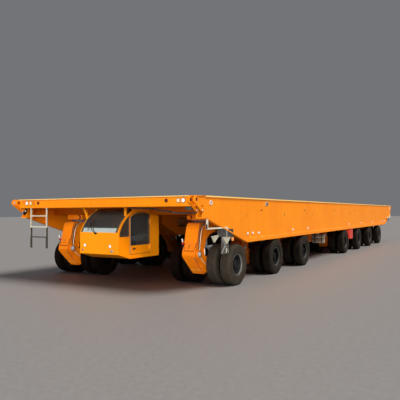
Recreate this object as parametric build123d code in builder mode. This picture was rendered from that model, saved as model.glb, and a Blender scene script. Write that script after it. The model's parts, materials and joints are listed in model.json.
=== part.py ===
from build123d import *
import os
from math import atan2, cos, degrees, hypot, radians, sin

# Self-propelled modular transporter: a flat deck on two deep side girders, carried by
# two rows of slewing pendulum bogies, with the driver's cab slung under the front deck.
# Millimetres. X across, Y along, front at -Y, Z up, origin on the ground under the middle.
os.makedirs("parts", exist_ok=True)

# Overall
EYE_SPACING = 26700.0        # front coupling eye to rear coupling eye
DECK_WIDTH = 6620.0
DECK_HEIGHT = 2400.0
DECK_PLATE = 20.0
GIRDER_BOTTOM = 1140.0       # underside of the side girders' bottom flange

# Axle lines, as stations behind the front coupling eyes
FRONT_LINES = 3
REAR_LINES = 4
FIRST_AXLE = 2140.0
LINE_PITCH = 2790.0
MID_GAP = 6050.0             # last front line to first rear line
TRAIL = 250.0                # axle behind its steering axis
BOGIE_HALF_WIDTH = 970.0

# Tyres, 12.00-20 size
TYRE_DIAMETER = 1120.0
TYRE_WIDTH = 315.0
TREAD_WIDTH = 250.0
RIM_OPENING = 520.0
INNER_TYRE_X = 385.0         # bogie centre to the middle of the inner tyre
TWIN_PITCH = 425.0
RIM_DEPTH = 190.0            # outer face of the twin in to its disc
AXLE_STUB_R = 70.0
HUB_CLEARANCE = 0.05

# Side girders
WEB = 30.0
LIP = 40.0                   # deck plate past the web
FLANGE = 30.0
FLANGE_INSET = 110.0         # width of the bottom flange, in from the deck's side
BAND_HEIGHT = 150.0          # doubler along the foot of the web
BAND = 10.0
RIB = 20.0
RIB_DEPTH = 40.0
RIB_OFFSET = 700.0           # ribs either side of each steering axis
GIRDER_END = 400.0           # station of the web's front edge
NOSE_HEIGHT = 1840.0         # underside of the girder's raised nose
CHAMFER_START = 420.0
CHAMFER_END = 2700.0

# Coupling lugs
EYE_DROP = 100.0             # eye's centre below the deck's top
EYE_R = 100.0
EYE_BORE_R = 30.0
LUG_GAP = 130.0              # clear gap between a lug's two plates
LUG_ROOT = 560.0             # station where the inner plate ends
LUG_NOTCH = (300.0, 340.0)   # station and drop below the deck of the notch between the eyes
LUG_THROAT = (60.0, 180.0)
LUG_FILLER = 110.0           # station where the filler between the plates starts
FOOT_EYE = (270.0, 55.0)     # station of the lower eye and its height above the girder's nose
FOOT_EYE_R = 55.0
FOOT_BORE_R = 22.0

# End beams, cross beams and spine
BEAM_SETBACK = 60.0          # end beam's face behind the deck's edge and the eyes
BEAM_DEPTH = 240.0
BEAM_PLATE = 20.0
BEAM_FLANGE = 120.0
CROSS_DEPTH = 450.0          # bogie beams, under the deck plate
CROSS_WIDTH = 700.0
TIE_DEPTH = 260.0            # lighter beams between the bogie beams
TIE_WIDTH = 180.0
SPINE_WIDTH = 1200.0
SPINE_BOTTOM = 1260.0
SPINE_START = 2350.0
SPINE_END = 24300.0
SPINE_TAPER = 900.0
SPINE_NOSE = 280.0

# Bogie, heights from the ground, lengths forward of the steering axis negative
ARM_WIDTH = 400.0
ARM_TOP_DROP = 690.0         # arm's top below the deck's top
ARM_DEPTH = 270.0            # arm's depth at the turntable
THROAT_FOOT = (-330.0, 820.0)
THROAT_BACK = 150.0
ARM_BACK = 300.0
THROAT_R = 754.0
TURNTABLE_R = 300.0
TURNTABLE = 65.0             # thickness on top of the arm
SLEW_GAP = 0.3
KNEE = (-570.0, 860.0)       # pendulum pivot
KNEE_BOSS_R = 130.0
KNEE_PIN_R = 75.0
BOSS_OUT = 35.0
CHEEK = 30.0
AXLE_BEAM_R = 110.0
RAM_R = 75.0
RAM_Y = 60.0
AXLE_END = 820.0             # bogie centre to the end of the axle stub

# Hubs, from the bogie centre outward
DRUM_IN = 208.0
DRUM_R = 205.0
HUB_R = 130.0
HUB_OUT = 870.0
HUB_END_GAP = 0.3

# Steering gear above each bogie
RING_R = 290.0
RACK_X = 240.0               # rack tube inboard of the steering axis
RACK_R = 60.0
RACK_DROP = 550.0            # below the deck's top
RACK_FRONT = 400.0
RACK_BACK = 620.0

# Cab, stations behind the front coupling eyes
CAB_HALF_WIDTH = 700.0
CAB_WALL = 40.0
CAB_FRONT = 200.0
CAB_BACK = 2030.0
CAB_FLOOR = 720.0
CHIN_START = 680.0
NOSE_FOOT = 860.0
BELT = 1450.0
CAB_ROOF = 2110.0
ROOF_START = 1350.0
PILLAR_MID = (545.0, 1890.0)
PILLAR = 75.0
SILL = 1390.0
QUARTER = (270.0, 630.0)     # stations of the quarter window
DOOR = (680.0, 1590.0)       # stations of the door opening
DOOR_FOOT = 830.0
DOOR_SILL = 1080.0
DOOR_GAP = 5.0
DOOR_FRAME = 60.0
SCREEN_HALF = 610.0
SCREEN_TOP = 1180.0          # station where the windscreen ends
GLASS = 8.0
GLASS_GAP = 0.3
GLASS_IN = 14.0
CAB_BEAM_GAP = 30.0
CAB_POCKET = 60.0            # clear space beside the cab under the first cross beam
SCREEN_FRAME = 25.0
REAR_WINDOW_Z = (1300.0, 1850.0)
REAR_WINDOW_HALF = 450.0
HANGER = 820.0
HANGER_LENGTH = 120.0
HANGER_REACH = 90.0          # down over the roof's edge
PAD = 100.0
HINGE_ZS = (1000.0, 1750.0)
KNUCKLE = 60.0
KNUCKLE_R = 14.0
HINGE_LEAF = 60.0
HANDLE = (110.0, 990.0)      # behind the door's front edge, height
HANDLE_OUT = 22.0
HANDLE_LENGTH = 110.0
HANDLE_HEIGHT = 26.0
SEAT_HALF = 250.0
DESK_HALF = 330.0

# Ladders
LADDER_X = (1790.0, 2450.0)
LADDER_FOOT = 955.0
STILE = (50.0, 25.0)
RUNG_R = 16.0
RUNG_HEIGHTS = (1280.0, 1580.0, 1900.0)

# Lamps
LAMP_DROP = 110.0            # below the deck's top
LAMP_XS = (2640.0, 2810.0)
LAMP_R = 48.0
LAMP_OUT = 18.0
HORN_X = 2310.0

# Middle bay: power pack, engine, tank and air bottles
PACK_START = 9200.0
PACK_END = 11800.0
PACK_WIDTH = 1500.0
PACK_BOTTOM = 800.0
PACK_WALL = 30.0
ENGINE = (900.0, 1700.0)
ENGINE_AIR = 150.0
TANK = (1300.0, 2200.0, 800.0)
BOTTLE_X = 2850.0
BOTTLE_STATION = 10850.0
BOTTLE_ZS = (735.0, 925.0)
BOTTLE_R = 92.0
BOTTLE_LENGTH = 500.0
BOTTLE_STRAP = 60.0
BRACKET_TOP = 1400.0

# Bar frames and buffer blocks at the right side
HANGER_BAR = 40.0
BAR_START = 470.0
BAR_INSET = 15.0
BAR_DROP = 230.0             # level bar's top below the girder's nose
BLOCK = (1130.0, 1740.0)
BLOCK_FOOT = 1330.0
BLOCK_INSET = 5.0
BLOCK_DEPTH = 100.0

half_length = EYE_SPACING / 2
half_width = DECK_WIDTH / 2
web_out = half_width - LIP
web_in = web_out - WEB
flange_in = half_width - FLANGE_INSET
deck_under = DECK_HEIGHT - DECK_PLATE
wheel_r = TYRE_DIAMETER / 2
bogie_x = half_width - BOGIE_HALF_WIDTH
flange_top = GIRDER_BOTTOM + FLANGE
spine_top = deck_under - CROSS_DEPTH
arm_top = DECK_HEIGHT - ARM_TOP_DROP
arm_root = arm_top - ARM_DEPTH
turntable_top = arm_top + TURNTABLE
eye_z = DECK_HEIGHT - EYE_DROP
foot_eye = (FOOT_EYE[0], NOSE_HEIGHT + FOOT_EYE[1])

axle_stations = [FIRST_AXLE + LINE_PITCH * i for i in range(FRONT_LINES)]
rear_first = axle_stations[-1] + MID_GAP
axle_stations += [rear_first + LINE_PITCH * i for i in range(REAR_LINES)]
SIDES = (("left", -1), ("right", 1))


def at(station):
    """Y of a station measured back from the front coupling eyes."""
    return station - half_length


def both_ends(points):
    """An end's outline followed by its mirror at the other end."""
    return points + [(EYE_SPACING - s, z) for s, z in reversed(points)]


def as_yz(points):
    return [(at(s), z) for s, z in points]


def save(piece, name):
    piece.part.label = name
    export_step(piece.part, f"parts/{name}.step")


# Deck plate: its edges stand out past the webs as a lip
with BuildPart() as deck_plate:
    with BuildSketch(Plane.XY.offset(deck_under)):
        Rectangle(DECK_WIDTH, EYE_SPACING)
    extrude(amount=DECK_PLATE)
save(deck_plate, "deck_plate")

# Side girders: web, bottom flange that follows the raised ends, foot band and ribs
chamfer_run = CHAMFER_END - CHAMFER_START
chamfer_drop = NOSE_HEIGHT - GIRDER_BOTTOM
chamfer_slope = chamfer_drop / chamfer_run
flange_rise = FLANGE / cos(atan2(chamfer_drop, chamfer_run))
corner_shift = (flange_rise - FLANGE) / chamfer_slope
band_shift = BAND_HEIGHT / chamfer_slope
foot_line = both_ends([(GIRDER_END, NOSE_HEIGHT), (CHAMFER_START, NOSE_HEIGHT), (CHAMFER_END, GIRDER_BOTTOM)])
flange_line = both_ends([(GIRDER_END, NOSE_HEIGHT + FLANGE), (CHAMFER_START + corner_shift, NOSE_HEIGHT + FLANGE),
                         (CHAMFER_END + corner_shift, flange_top)])


def foot_under(station):
    """Height of the girder's underside at a station."""
    from_end = min(station, EYE_SPACING - station)
    rise = chamfer_slope * (CHAMFER_END - from_end)
    return GIRDER_BOTTOM + min(max(rise, 0), chamfer_drop)


steer_stations = [s - TRAIL for s in axle_stations]
gap_middle = (steer_stations[FRONT_LINES - 1] + steer_stations[FRONT_LINES]) / 2
rib_stations = [s + d for s in steer_stations for d in (-RIB_OFFSET, RIB_OFFSET)] 
rib_stations += [gap_middle - RIB_OFFSET, gap_middle + RIB_OFFSET]

with BuildPart() as side_girders:
    for side_name, side in SIDES:
        web_plane = Plane.YZ.offset(side * web_out)
        with BuildSketch(web_plane):
            with BuildLine():
                Polyline(*as_yz(flange_line), (-at(GIRDER_END), deck_under), (at(GIRDER_END), deck_under),
                         close=True)
            make_face()
        extrude(amount=-side * WEB)
        with BuildSketch(Plane.YZ.offset(side * half_width)):
            with BuildLine():
                Polyline(*as_yz(foot_line), *reversed(as_yz(flange_line)), close=True)
            make_face()
        extrude(amount=-side * FLANGE_INSET)
        with BuildSketch(web_plane):
            with BuildLine():
                Polyline(*as_yz(both_ends([(CHAMFER_END, flange_top)])),
                         *reversed(as_yz(both_ends([(CHAMFER_END - band_shift, flange_top + BAND_HEIGHT)]))),
                         close=True)
            make_face()
        extrude(amount=side * BAND)
        for s in rib_stations:
            rib_height = deck_under - foot_under(s) - FLANGE / 2
            with Locations((side * (web_in - RIB_DEPTH / 2), at(s), deck_under - rib_height / 2)):
                Box(RIB_DEPTH, RIB, rib_height)
save(side_girders, "side_girders")


def lug_plate(plane, thickness, end, root_station):
    """One lug plate with its two eyes, mirrored for the rear end."""
    def p(station, z):
        return (end * (station - half_length), z)

    foot_s, foot_z = foot_eye
    notch = p(LUG_NOTCH[0], DECK_HEIGHT - LUG_NOTCH[1])
    throat = p(LUG_THROAT[0], DECK_HEIGHT - LUG_THROAT[1])
    with BuildSketch(plane) as plate:
        with BuildLine():
            Polyline(p(0, eye_z + EYE_R), p(0, deck_under), p(root_station, deck_under),
                     p(root_station, NOSE_HEIGHT + FLANGE), p(foot_s, foot_z - FOOT_EYE_R))
            ThreePointArc(p(foot_s, foot_z - FOOT_EYE_R), p(foot_s - FOOT_EYE_R, foot_z),
                          p(foot_s, foot_z + FOOT_EYE_R))
            Polyline(p(foot_s, foot_z + FOOT_EYE_R), notch, throat)
            ThreePointArc(throat, p(-EYE_R, eye_z), p(0, eye_z + EYE_R))
        make_face()
        with Locations(p(0, eye_z)):
            Circle(EYE_BORE_R, mode=Mode.SUBTRACT)
        with Locations(p(foot_s, foot_z)):
            Circle(FOOT_BORE_R, mode=Mode.SUBTRACT)
    extrude(plate.sketch, amount=thickness)


# Coupling lugs: an outer plate on the web's end, an inner plate and a filler between them
with BuildPart() as coupling_lugs:
    for side_name, side in SIDES:
        for end in (1, -1):
            lug_plate(Plane.YZ.offset(side * web_out), -side * WEB, end, GIRDER_END)
            lug_plate(Plane.YZ.offset(side * (web_in - LUG_GAP)), -side * WEB, end, LUG_ROOT)
            filler_length = GIRDER_END - LUG_FILLER
            with Locations((side * (web_in - LUG_GAP / 2), end * at(LUG_FILLER + filler_length / 2),
                            deck_under - BEAM_DEPTH / 2)):
                Box(LUG_GAP, filler_length, BEAM_DEPTH)
save(coupling_lugs, "coupling_lugs")

# End beams: channels that close the deck between the inner lug plates
beam_half = web_in - LUG_GAP - WEB
beam_under = deck_under - BEAM_DEPTH
beam_face = BEAM_SETBACK
with BuildPart() as end_beams:
    for end in (1, -1):
        with BuildSketch(Plane.YZ.offset(-beam_half)):
            with BuildLine():
                Polyline(*[(end * at(s), z) for s, z in (
                    (beam_face, deck_under), (beam_face + BEAM_PLATE, deck_under),
                    (beam_face + BEAM_PLATE, beam_under + BEAM_PLATE),
                    (beam_face + BEAM_FLANGE, beam_under + BEAM_PLATE),
                    (beam_face + BEAM_FLANGE, beam_under), (beam_face, beam_under))], close=True)
            make_face()
        extrude(amount=2 * beam_half)
save(end_beams, "end_beams")

# Cross beams: a deep one over each axle line, lighter ties between
tie_stations = [LUG_ROOT + TIE_WIDTH / 2]
tie_stations += [s + LINE_PITCH / 2 for s in steer_stations if s != steer_stations[FRONT_LINES - 1]]
tie_stations += [gap_middle - LINE_PITCH / 2, gap_middle, gap_middle + LINE_PITCH / 2]
tie_stations += [EYE_SPACING - LUG_ROOT - TIE_WIDTH / 2, EYE_SPACING - LUG_ROOT - LINE_PITCH / 2]
cab_pocket_half = CAB_HALF_WIDTH + CAB_POCKET
with BuildPart() as cross_beams:
    with Locations(*[(0, at(s), deck_under - CROSS_DEPTH / 2) for s in steer_stations[1:]]):
        Box(2 * web_in, CROSS_WIDTH, CROSS_DEPTH)
    # The first one is two boxes, either side of the cab
    side_length = web_in - cab_pocket_half
    for side_name, side in SIDES:
        with Locations((side * (web_in - side_length / 2), at(steer_stations[0]), deck_under - CROSS_DEPTH / 2)):
            Box(side_length, CROSS_WIDTH, CROSS_DEPTH)
    for s in tie_stations:
        with Locations((0, at(s), deck_under - TIE_DEPTH / 2)):
            Box(2 * web_in, TIE_WIDTH, TIE_DEPTH)
save(cross_beams, "cross_beams")

# Spine: a closed box under the bogie beams, raised at both ends, and the saddle over the cab
with BuildPart() as spine_box:
    with BuildSketch(Plane.YZ.offset(-SPINE_WIDTH / 2)):
        with BuildLine():
            Polyline(*as_yz([
                (SPINE_START, spine_top), (SPINE_START, spine_top - SPINE_NOSE),
                (SPINE_START + SPINE_TAPER, SPINE_BOTTOM), (SPINE_END - SPINE_TAPER, SPINE_BOTTOM),
                (SPINE_END, spine_top - SPINE_NOSE), (SPINE_END, spine_top)]), close=True)
        make_face()
    extrude(amount=SPINE_WIDTH)
    saddle_foot = CAB_ROOF + CAB_BEAM_GAP
    with Locations((0, at(steer_stations[0]), (saddle_foot + deck_under) / 2)):
        Box(2 * cab_pocket_half, CROSS_WIDTH, deck_under - saddle_foot)
save(spine_box, "spine_box")

# Steering gear: a fixed ring housing over each bogie with its rack tube alongside
with BuildPart() as steering_gear:
    ring_foot = turntable_top + SLEW_GAP
    for s in steer_stations:
        for side_name, side in SIDES:
            with Locations((side * bogie_x, at(s), (ring_foot + spine_top) / 2)):
                Cylinder(RING_R, spine_top - ring_foot)
            tube_middle = at(s) + (RACK_BACK - RACK_FRONT) / 2
            with Locations(Location((side * (bogie_x - RACK_X), tube_middle, DECK_HEIGHT - RACK_DROP), (90, 0, 0))):
                Cylinder(RACK_R, RACK_BACK + RACK_FRONT)
save(steering_gear, "steering_gear")

# Bogie: slewing gooseneck arm, knee, trailing rocker, ram and axle, built once about its
# steering axis and set down under every station
chin = (-340.0, 315.0)
axle = (TRAIL, wheel_r)
with BuildPart() as bogie_form:
    with Locations((0, 0, (arm_top + turntable_top) / 2)):
        Cylinder(TURNTABLE_R, TURNTABLE)
    # Gooseneck: straight raked front, round throat behind over the wheels
    with BuildSketch(Plane.YZ):
        with BuildLine():
            Polyline((THROAT_BACK, arm_root), (ARM_BACK, arm_root), (ARM_BACK, arm_top), (-490, arm_top),
                     (-775, 950), (-790, 860), (KNEE[0], KNEE[1] - KNEE_BOSS_R), THROAT_FOOT)
            RadiusArc(THROAT_FOOT, (THROAT_BACK, arm_root), THROAT_R)
        make_face()
    extrude(amount=ARM_WIDTH / 2 - CHEEK, both=True)
    with BuildSketch(Plane.YZ):
        with BuildLine():
            Polyline((THROAT_BACK, arm_root), (ARM_BACK, arm_root), (ARM_BACK, arm_top), (-490, arm_top),
                     (-740, 1050), (-265, 1000))
            RadiusArc((-265, 1000), (THROAT_BACK, arm_root), THROAT_R)
        make_face()
    extrude(amount=ARM_WIDTH / 2, both=True)
    # Rocker: cheeks round the knee, a box back to the axle
    with BuildSketch(Plane.YZ):
        with BuildLine():
            Polyline((-775, 955), (-745, 745), chin, (TRAIL, wheel_r - AXLE_BEAM_R - 40),
                     (TRAIL + 150, wheel_r), (TRAIL, wheel_r + AXLE_BEAM_R + 40), (-100, 760), (-420, 985),
                     close=True)
        make_face()
    extrude(amount=ARM_WIDTH / 2, both=True)
    with Locations(Location((0, *KNEE), (0, 90, 0))):
        Cylinder(KNEE_BOSS_R, ARM_WIDTH + 2 * BOSS_OUT)
    # Suspension ram between arm and rocker
    with Locations((0, RAM_Y, (700 + arm_root) / 2)):
        Cylinder(RAM_R, arm_root - 700 + 20)
    # Axle through both twins
    with Locations(Location((0, *axle), (0, 90, 0))):
        Cylinder(AXLE_STUB_R, 2 * AXLE_END)

for side_name, side in SIDES:
    for line, s in enumerate(steer_stations, 1):
        with BuildPart() as bogie:
            add(bogie_form.part.moved(Location((side * bogie_x, at(s), 0))))
        save(bogie, f"bogie_{side_name}_{line}")

# Twin wheels: two tyres, their rims and the drum as one turned body on its axle stub
with BuildPart() as twin_form:
    half_tyre = TYRE_WIDTH / 2
    rim_r = RIM_OPENING / 2
    inner_in = INNER_TYRE_X - half_tyre
    inner_out = INNER_TYRE_X + half_tyre
    outer_in = inner_in + TWIN_PITCH
    outer_out = inner_out + TWIN_PITCH
    disc = outer_out - RIM_DEPTH
    with BuildSketch(Plane.XZ):
        with BuildLine():
            Polyline((DRUM_IN, AXLE_STUB_R + HUB_CLEARANCE), (DRUM_IN, DRUM_R), (inner_in, DRUM_R),
                     (inner_in, wheel_r), (inner_out, wheel_r), (inner_out, rim_r), (outer_in, rim_r),
                     (outer_in, wheel_r), (outer_out, wheel_r), (outer_out, rim_r), (disc, rim_r),
                     (disc, HUB_R), (HUB_OUT, HUB_R), (HUB_OUT, 0), (AXLE_END + HUB_END_GAP, 0),
                     (AXLE_END + HUB_END_GAP, AXLE_STUB_R + HUB_CLEARANCE), close=True)
        make_face()
    revolve(axis=Axis.X)

for side_name, side in SIDES:
    for line, s in enumerate(axle_stations, 1):
        for twin_name, turn in (("outer", 0 if side > 0 else 180), ("inner", 180 if side > 0 else 0)):
            with BuildPart() as twin:
                add(twin_form.part.moved(Location((side * bogie_x, at(s), wheel_r), (0, 0, turn))))
            save(twin, f"twin_{side_name}_{line}_{twin_name}")

hinge_x = CAB_HALF_WIDTH + KNUCKLE_R

# Cab outline in side view, drawn flat with Y across the page and Z up it
with BuildSketch() as cab_outline:
    with BuildLine():
        Line((at(CAB_FRONT), NOSE_FOOT), (at(CAB_FRONT), BELT))
        ThreePointArc((at(CAB_FRONT), BELT), (at(PILLAR_MID[0]), PILLAR_MID[1]), (at(ROOF_START), CAB_ROOF))
        Polyline((at(ROOF_START), CAB_ROOF), (at(CAB_BACK), CAB_ROOF), (at(CAB_BACK), CAB_FLOOR),
                 (at(CHIN_START), CAB_FLOOR), (at(CAB_FRONT), NOSE_FOOT))
    make_face()


def inset_outline(amount):
    """The cab's side outline moved in all round."""
    with BuildSketch() as sketch:
        add(cab_outline.sketch)
        offset(amount=-amount, kind=Kind.INTERSECTION)
    return sketch.sketch


def side_window(stations, foot, inset, margin=0.0):
    """A side opening: a band of stations above a foot height, kept inside the outline."""
    front, back = stations
    with BuildSketch() as sketch:
        add(inset_outline(inset + margin))
        with Locations((at((front + back) / 2), (foot + margin + CAB_ROOF) / 2)):
            Rectangle(back - front - 2 * margin, CAB_ROOF - foot - margin, mode=Mode.INTERSECT)
    return sketch.sketch


def slab(outline, outer, thickness, mode=Mode.ADD):
    """Add or cut an outline as a layer whose outer face is at x = outer."""
    toward_middle = -1 if outer > 0 else 1
    with BuildSketch(Plane.YZ.offset(outer)) as layer:
        add(outline)
    extrude(layer.sketch, amount=toward_middle * thickness, mode=mode)


def screen_band(half, inset_from, inset_to, margin, mode=Mode.ADD):
    """Add or cut a curved layer of the windscreen between two insets of the outline."""
    with BuildSketch(Plane.YZ.offset(-half)) as band:
        add(inset_outline(inset_from))
        add(inset_outline(inset_to), mode=Mode.SUBTRACT)
        with Locations((at((SCREEN_TOP - margin) / 2), (BELT + margin + DECK_HEIGHT) / 2)):
            Rectangle(SCREEN_TOP - margin, DECK_HEIGHT - BELT - margin, mode=Mode.INTERSECT)
    extrude(band.sketch, amount=2 * half, mode=mode)


cab_inner = inset_outline(CAB_WALL)
door_hole = side_window(DOOR, DOOR_FOOT, PILLAR)
pane_stations = (DOOR[0] + DOOR_FRAME, DOOR[1] - DOOR_FRAME)
door_glass_hole = side_window(pane_stations, DOOR_SILL, PILLAR + DOOR_FRAME)
door_pane = side_window(pane_stations, DOOR_SILL, PILLAR + DOOR_FRAME, GLASS_GAP)
quarter_hole = side_window(QUARTER, SILL, PILLAR)
quarter_pane = side_window(QUARTER, SILL, PILLAR, GLASS_GAP)

# Cab shell: nose, floor, roof, pillars and rear wall round the driver's space
with BuildPart() as cab_shell:
    with BuildSketch(Plane.YZ.offset(-CAB_HALF_WIDTH)):
        add(cab_outline.sketch)
    extrude(amount=2 * CAB_HALF_WIDTH)
    with BuildSketch(Plane.YZ.offset(CAB_WALL - CAB_HALF_WIDTH)):
        add(cab_inner)
    extrude(amount=2 * (CAB_HALF_WIDTH - CAB_WALL), mode=Mode.SUBTRACT)
    screen_band(SCREEN_HALF, -1.0, CAB_WALL + 1, SCREEN_FRAME, Mode.SUBTRACT)
    slab(door_hole, CAB_HALF_WIDTH, CAB_WALL, Mode.SUBTRACT)
    for outline, outer in ((quarter_hole, CAB_HALF_WIDTH), (quarter_hole, -CAB_HALF_WIDTH),
                           (door_glass_hole, -CAB_HALF_WIDTH)):
        slab(outline, outer, CAB_WALL, Mode.SUBTRACT)
    rear_low, rear_high = REAR_WINDOW_Z
    with Locations((0, at(CAB_BACK - CAB_WALL / 2), (rear_low + rear_high) / 2)):
        Box(2 * REAR_WINDOW_HALF, CAB_WALL, rear_high - rear_low, mode=Mode.SUBTRACT)
    hanger_foot = CAB_ROOF - HANGER_REACH
    # Hangers up to the deck: two at the pillars, two on the roof under the first cross beam
    for side_name, side in SIDES:
        with BuildSketch(Plane.YZ.offset(side * CAB_HALF_WIDTH)):
            with BuildLine():
                Polyline(*as_yz([(HANGER, hanger_foot), (HANGER, deck_under), (HANGER + HANGER_LENGTH, deck_under),
                                 (HANGER + HANGER_LENGTH, hanger_foot)]), close=True)
            make_face()
        extrude(amount=-side * CAB_WALL)
        with Locations((side * (CAB_HALF_WIDTH - PAD / 2), at(CAB_BACK - PAD), CAB_ROOF + CAB_BEAM_GAP / 2)):
            Box(PAD, PAD, CAB_BEAM_GAP)
    # Hinge knuckles of the door, above and below each of its barrels
    for z in HINGE_ZS:
        for dz in (-KNUCKLE, KNUCKLE):
            with Locations((hinge_x, at(DOOR[1]), z + dz)):
                Cylinder(KNUCKLE_R, KNUCKLE)
            with Locations((hinge_x - KNUCKLE_R / 2, at(DOOR[1]) + HINGE_LEAF / 2, z + dz)):
                Box(KNUCKLE_R, HINGE_LEAF, KNUCKLE)
save(cab_shell, "cab_shell")

# Cab door on the right, hung at its rear edge
door_panel = side_window(DOOR, DOOR_FOOT, PILLAR, DOOR_GAP)
with BuildPart() as cab_door:
    slab(door_panel, CAB_HALF_WIDTH, CAB_WALL)
    slab(door_glass_hole, CAB_HALF_WIDTH, CAB_WALL, Mode.SUBTRACT)
    for z in HINGE_ZS:
        with Locations((hinge_x, at(DOOR[1]), z)):
            Cylinder(KNUCKLE_R, KNUCKLE - 2 * GLASS_GAP)
        with Locations((hinge_x - KNUCKLE_R / 2, at(DOOR[1]) - HINGE_LEAF / 2, z)):
            Box(KNUCKLE_R, HINGE_LEAF, KNUCKLE - 2 * GLASS_GAP)
    with Locations((CAB_HALF_WIDTH + HANDLE_OUT / 2, at(DOOR[0] + HANDLE[0]), HANDLE[1])):
        Box(HANDLE_OUT, HANDLE_LENGTH, HANDLE_HEIGHT)
save(cab_door, "cab_door")

with BuildPart() as door_glass:
    slab(door_pane, CAB_HALF_WIDTH - GLASS_IN, GLASS)
save(door_glass, "door_glass")

with BuildPart() as cab_glass:
    screen_band(SCREEN_HALF - GLASS_GAP, GLASS_IN, GLASS_IN + GLASS, SCREEN_FRAME + GLASS_GAP)
    for outline, side in ((quarter_pane, 1), (quarter_pane, -1), (door_pane, -1)):
        slab(outline, side * (CAB_HALF_WIDTH - GLASS_IN), GLASS)
    with Locations((0, at(CAB_BACK - CAB_WALL / 2), (rear_low + rear_high) / 2)):
        Box(2 * (REAR_WINDOW_HALF - GLASS_GAP), GLASS, rear_high - rear_low - 2 * GLASS_GAP)
save(cab_glass, "cab_glass")

# Operator's station: seat on its pedestal and the desk behind the nose
floor_top = CAB_FLOOR + CAB_WALL
with BuildPart() as operator_station:
    with BuildSketch(Plane.YZ.offset(-SEAT_HALF)):
        with BuildLine():
            Polyline(*as_yz([(1230, floor_top), (1500, floor_top), (1500, 1030), (1640, 1090), (1760, 1620),
                             (1650, 1650), (1540, 1170), (1090, 1150), (1070, 1050), (1230, 1030)]), close=True)
        make_face()
    extrude(amount=2 * SEAT_HALF)
    with BuildSketch(Plane.YZ.offset(-DESK_HALF)):
        with BuildLine():
            Polyline(*as_yz([(700, floor_top), (800, floor_top), (830, 1120), (860, 1270), (840, 1300),
                             (460, 1400), (440, 1370), (620, 1290), (640, 1100)]), close=True)
        make_face()
    extrude(amount=2 * DESK_HALF)
save(operator_station, "operator_station")

# Ladders: front left and, turned half a turn, rear right
with BuildPart() as ladders:
    for end in (1, -1):
        low, high = LADDER_X
        stile_width, stile_depth = STILE
        ladder_y = end * at(beam_face + STILE[0] / 2)
        for x in LADDER_X:
            with Locations((-end * x, ladder_y, (LADDER_FOOT + beam_under) / 2)):
                Box(stile_depth, stile_width, beam_under - LADDER_FOOT)
        for z in RUNG_HEIGHTS:
            with Locations(Location((-end * (low + high) / 2, ladder_y, z), (0, 90, 0))):
                Cylinder(RUNG_R, high - low)
save(ladders, "ladders")

# Power pack in the middle bay: a louvred housing slung beside the spine, engine inside
with BuildPart() as power_pack:
    pack_length = PACK_END - PACK_START
    pack_height = spine_top - PACK_BOTTOM
    pack_centre = (SPINE_WIDTH / 2 + PACK_WIDTH / 2, at(PACK_START + pack_length / 2), PACK_BOTTOM + pack_height / 2)
    with Locations(pack_centre):
        Box(PACK_WIDTH, pack_length, pack_height)
        Box(PACK_WIDTH - 2 * PACK_WALL, pack_length - 2 * PACK_WALL, pack_height - 2 * PACK_WALL,
            mode=Mode.SUBTRACT)
save(power_pack, "power_pack")

with BuildPart() as engine_block:
    engine_height = pack_height - 2 * PACK_WALL - ENGINE_AIR
    with Locations((pack_centre[0], pack_centre[1], PACK_BOTTOM + PACK_WALL + engine_height / 2)):
        Box(*ENGINE, engine_height)
save(engine_block, "engine_block")

# Tanks on the spine's other side and the two air bottles at the right edge
with BuildPart() as tanks:
    with Locations((-SPINE_WIDTH / 2 - TANK[0] / 2, pack_centre[1], spine_top - TANK[2] / 2)):
        Box(*TANK)
    for z in BOTTLE_ZS:
        with Locations(Location((BOTTLE_X, at(BOTTLE_STATION), z), (0, 90, 0))):
            Cylinder(BOTTLE_R, BOTTLE_LENGTH)
    # Their strap rises to a bracket on the inside of the side girder
    bottle_top = max(BOTTLE_ZS)
    bracket_length = web_in - BOTTLE_X + BOTTLE_STRAP / 2
    with Locations((BOTTLE_X, at(BOTTLE_STATION), (bottle_top + BRACKET_TOP) / 2)):
        Box(BOTTLE_STRAP, BOTTLE_STRAP, BRACKET_TOP - bottle_top)
    with Locations((web_in - bracket_length / 2, at(BOTTLE_STATION), BRACKET_TOP - BOTTLE_STRAP / 2)):
        Box(bracket_length, BOTTLE_STRAP, BOTTLE_STRAP)
    with Locations((BOTTLE_X, at(BOTTLE_STATION), sum(BOTTLE_ZS) / 2)):
        Box(BOTTLE_STRAP, BOTTLE_STRAP, BOTTLE_ZS[1] - BOTTLE_ZS[0])
save(tanks, "tanks")

# Lamps on both end beams
with BuildPart() as lamps:
    for end in (1, -1):
        for x in LAMP_XS + (HORN_X,):
            for side_name, side in SIDES:
                with Locations(Location((side * x, end * at(beam_face - LAMP_OUT / 2), DECK_HEIGHT - LAMP_DROP), (90, 0, 0))):
                    Cylinder(LAMP_R, LAMP_OUT)
save(lamps, "lamps")

# Side hangers on the right: a bar frame under each raised end and the buffer block behind it


def hang(end, outer, depth, corners):
    """Add a flat-sided piece below the girder, cut from its side outline."""
    with BuildSketch(Plane.YZ.offset(outer)) as piece:
        with BuildLine():
            Polyline(*[(end * at(s), z) for s, z in corners], close=True)
        make_face()
    extrude(piece.sketch, amount=-depth)


with BuildPart() as side_hangers:
    for end in (1, -1):
        bar_back = BAR_START + HANGER_BAR
        bar_level = NOSE_HEIGHT - BAR_DROP
        hang(end, half_width - BAR_INSET, HANGER_BAR, [
            (BAR_START, foot_under(BAR_START)), (bar_back, foot_under(bar_back)),
            (bar_back, bar_level), (BLOCK[0], bar_level), (BLOCK[0], bar_level - HANGER_BAR),
            (BAR_START, bar_level - HANGER_BAR)])
        hang(end, half_width - BLOCK_INSET, BLOCK_DEPTH, [
            (BLOCK[0], foot_under(BLOCK[0])), (BLOCK[1], foot_under(BLOCK[1])),
            (BLOCK[1], BLOCK_FOOT), (BLOCK[0], BLOCK_FOOT)])
save(side_hangers, "side_hangers")
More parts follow.
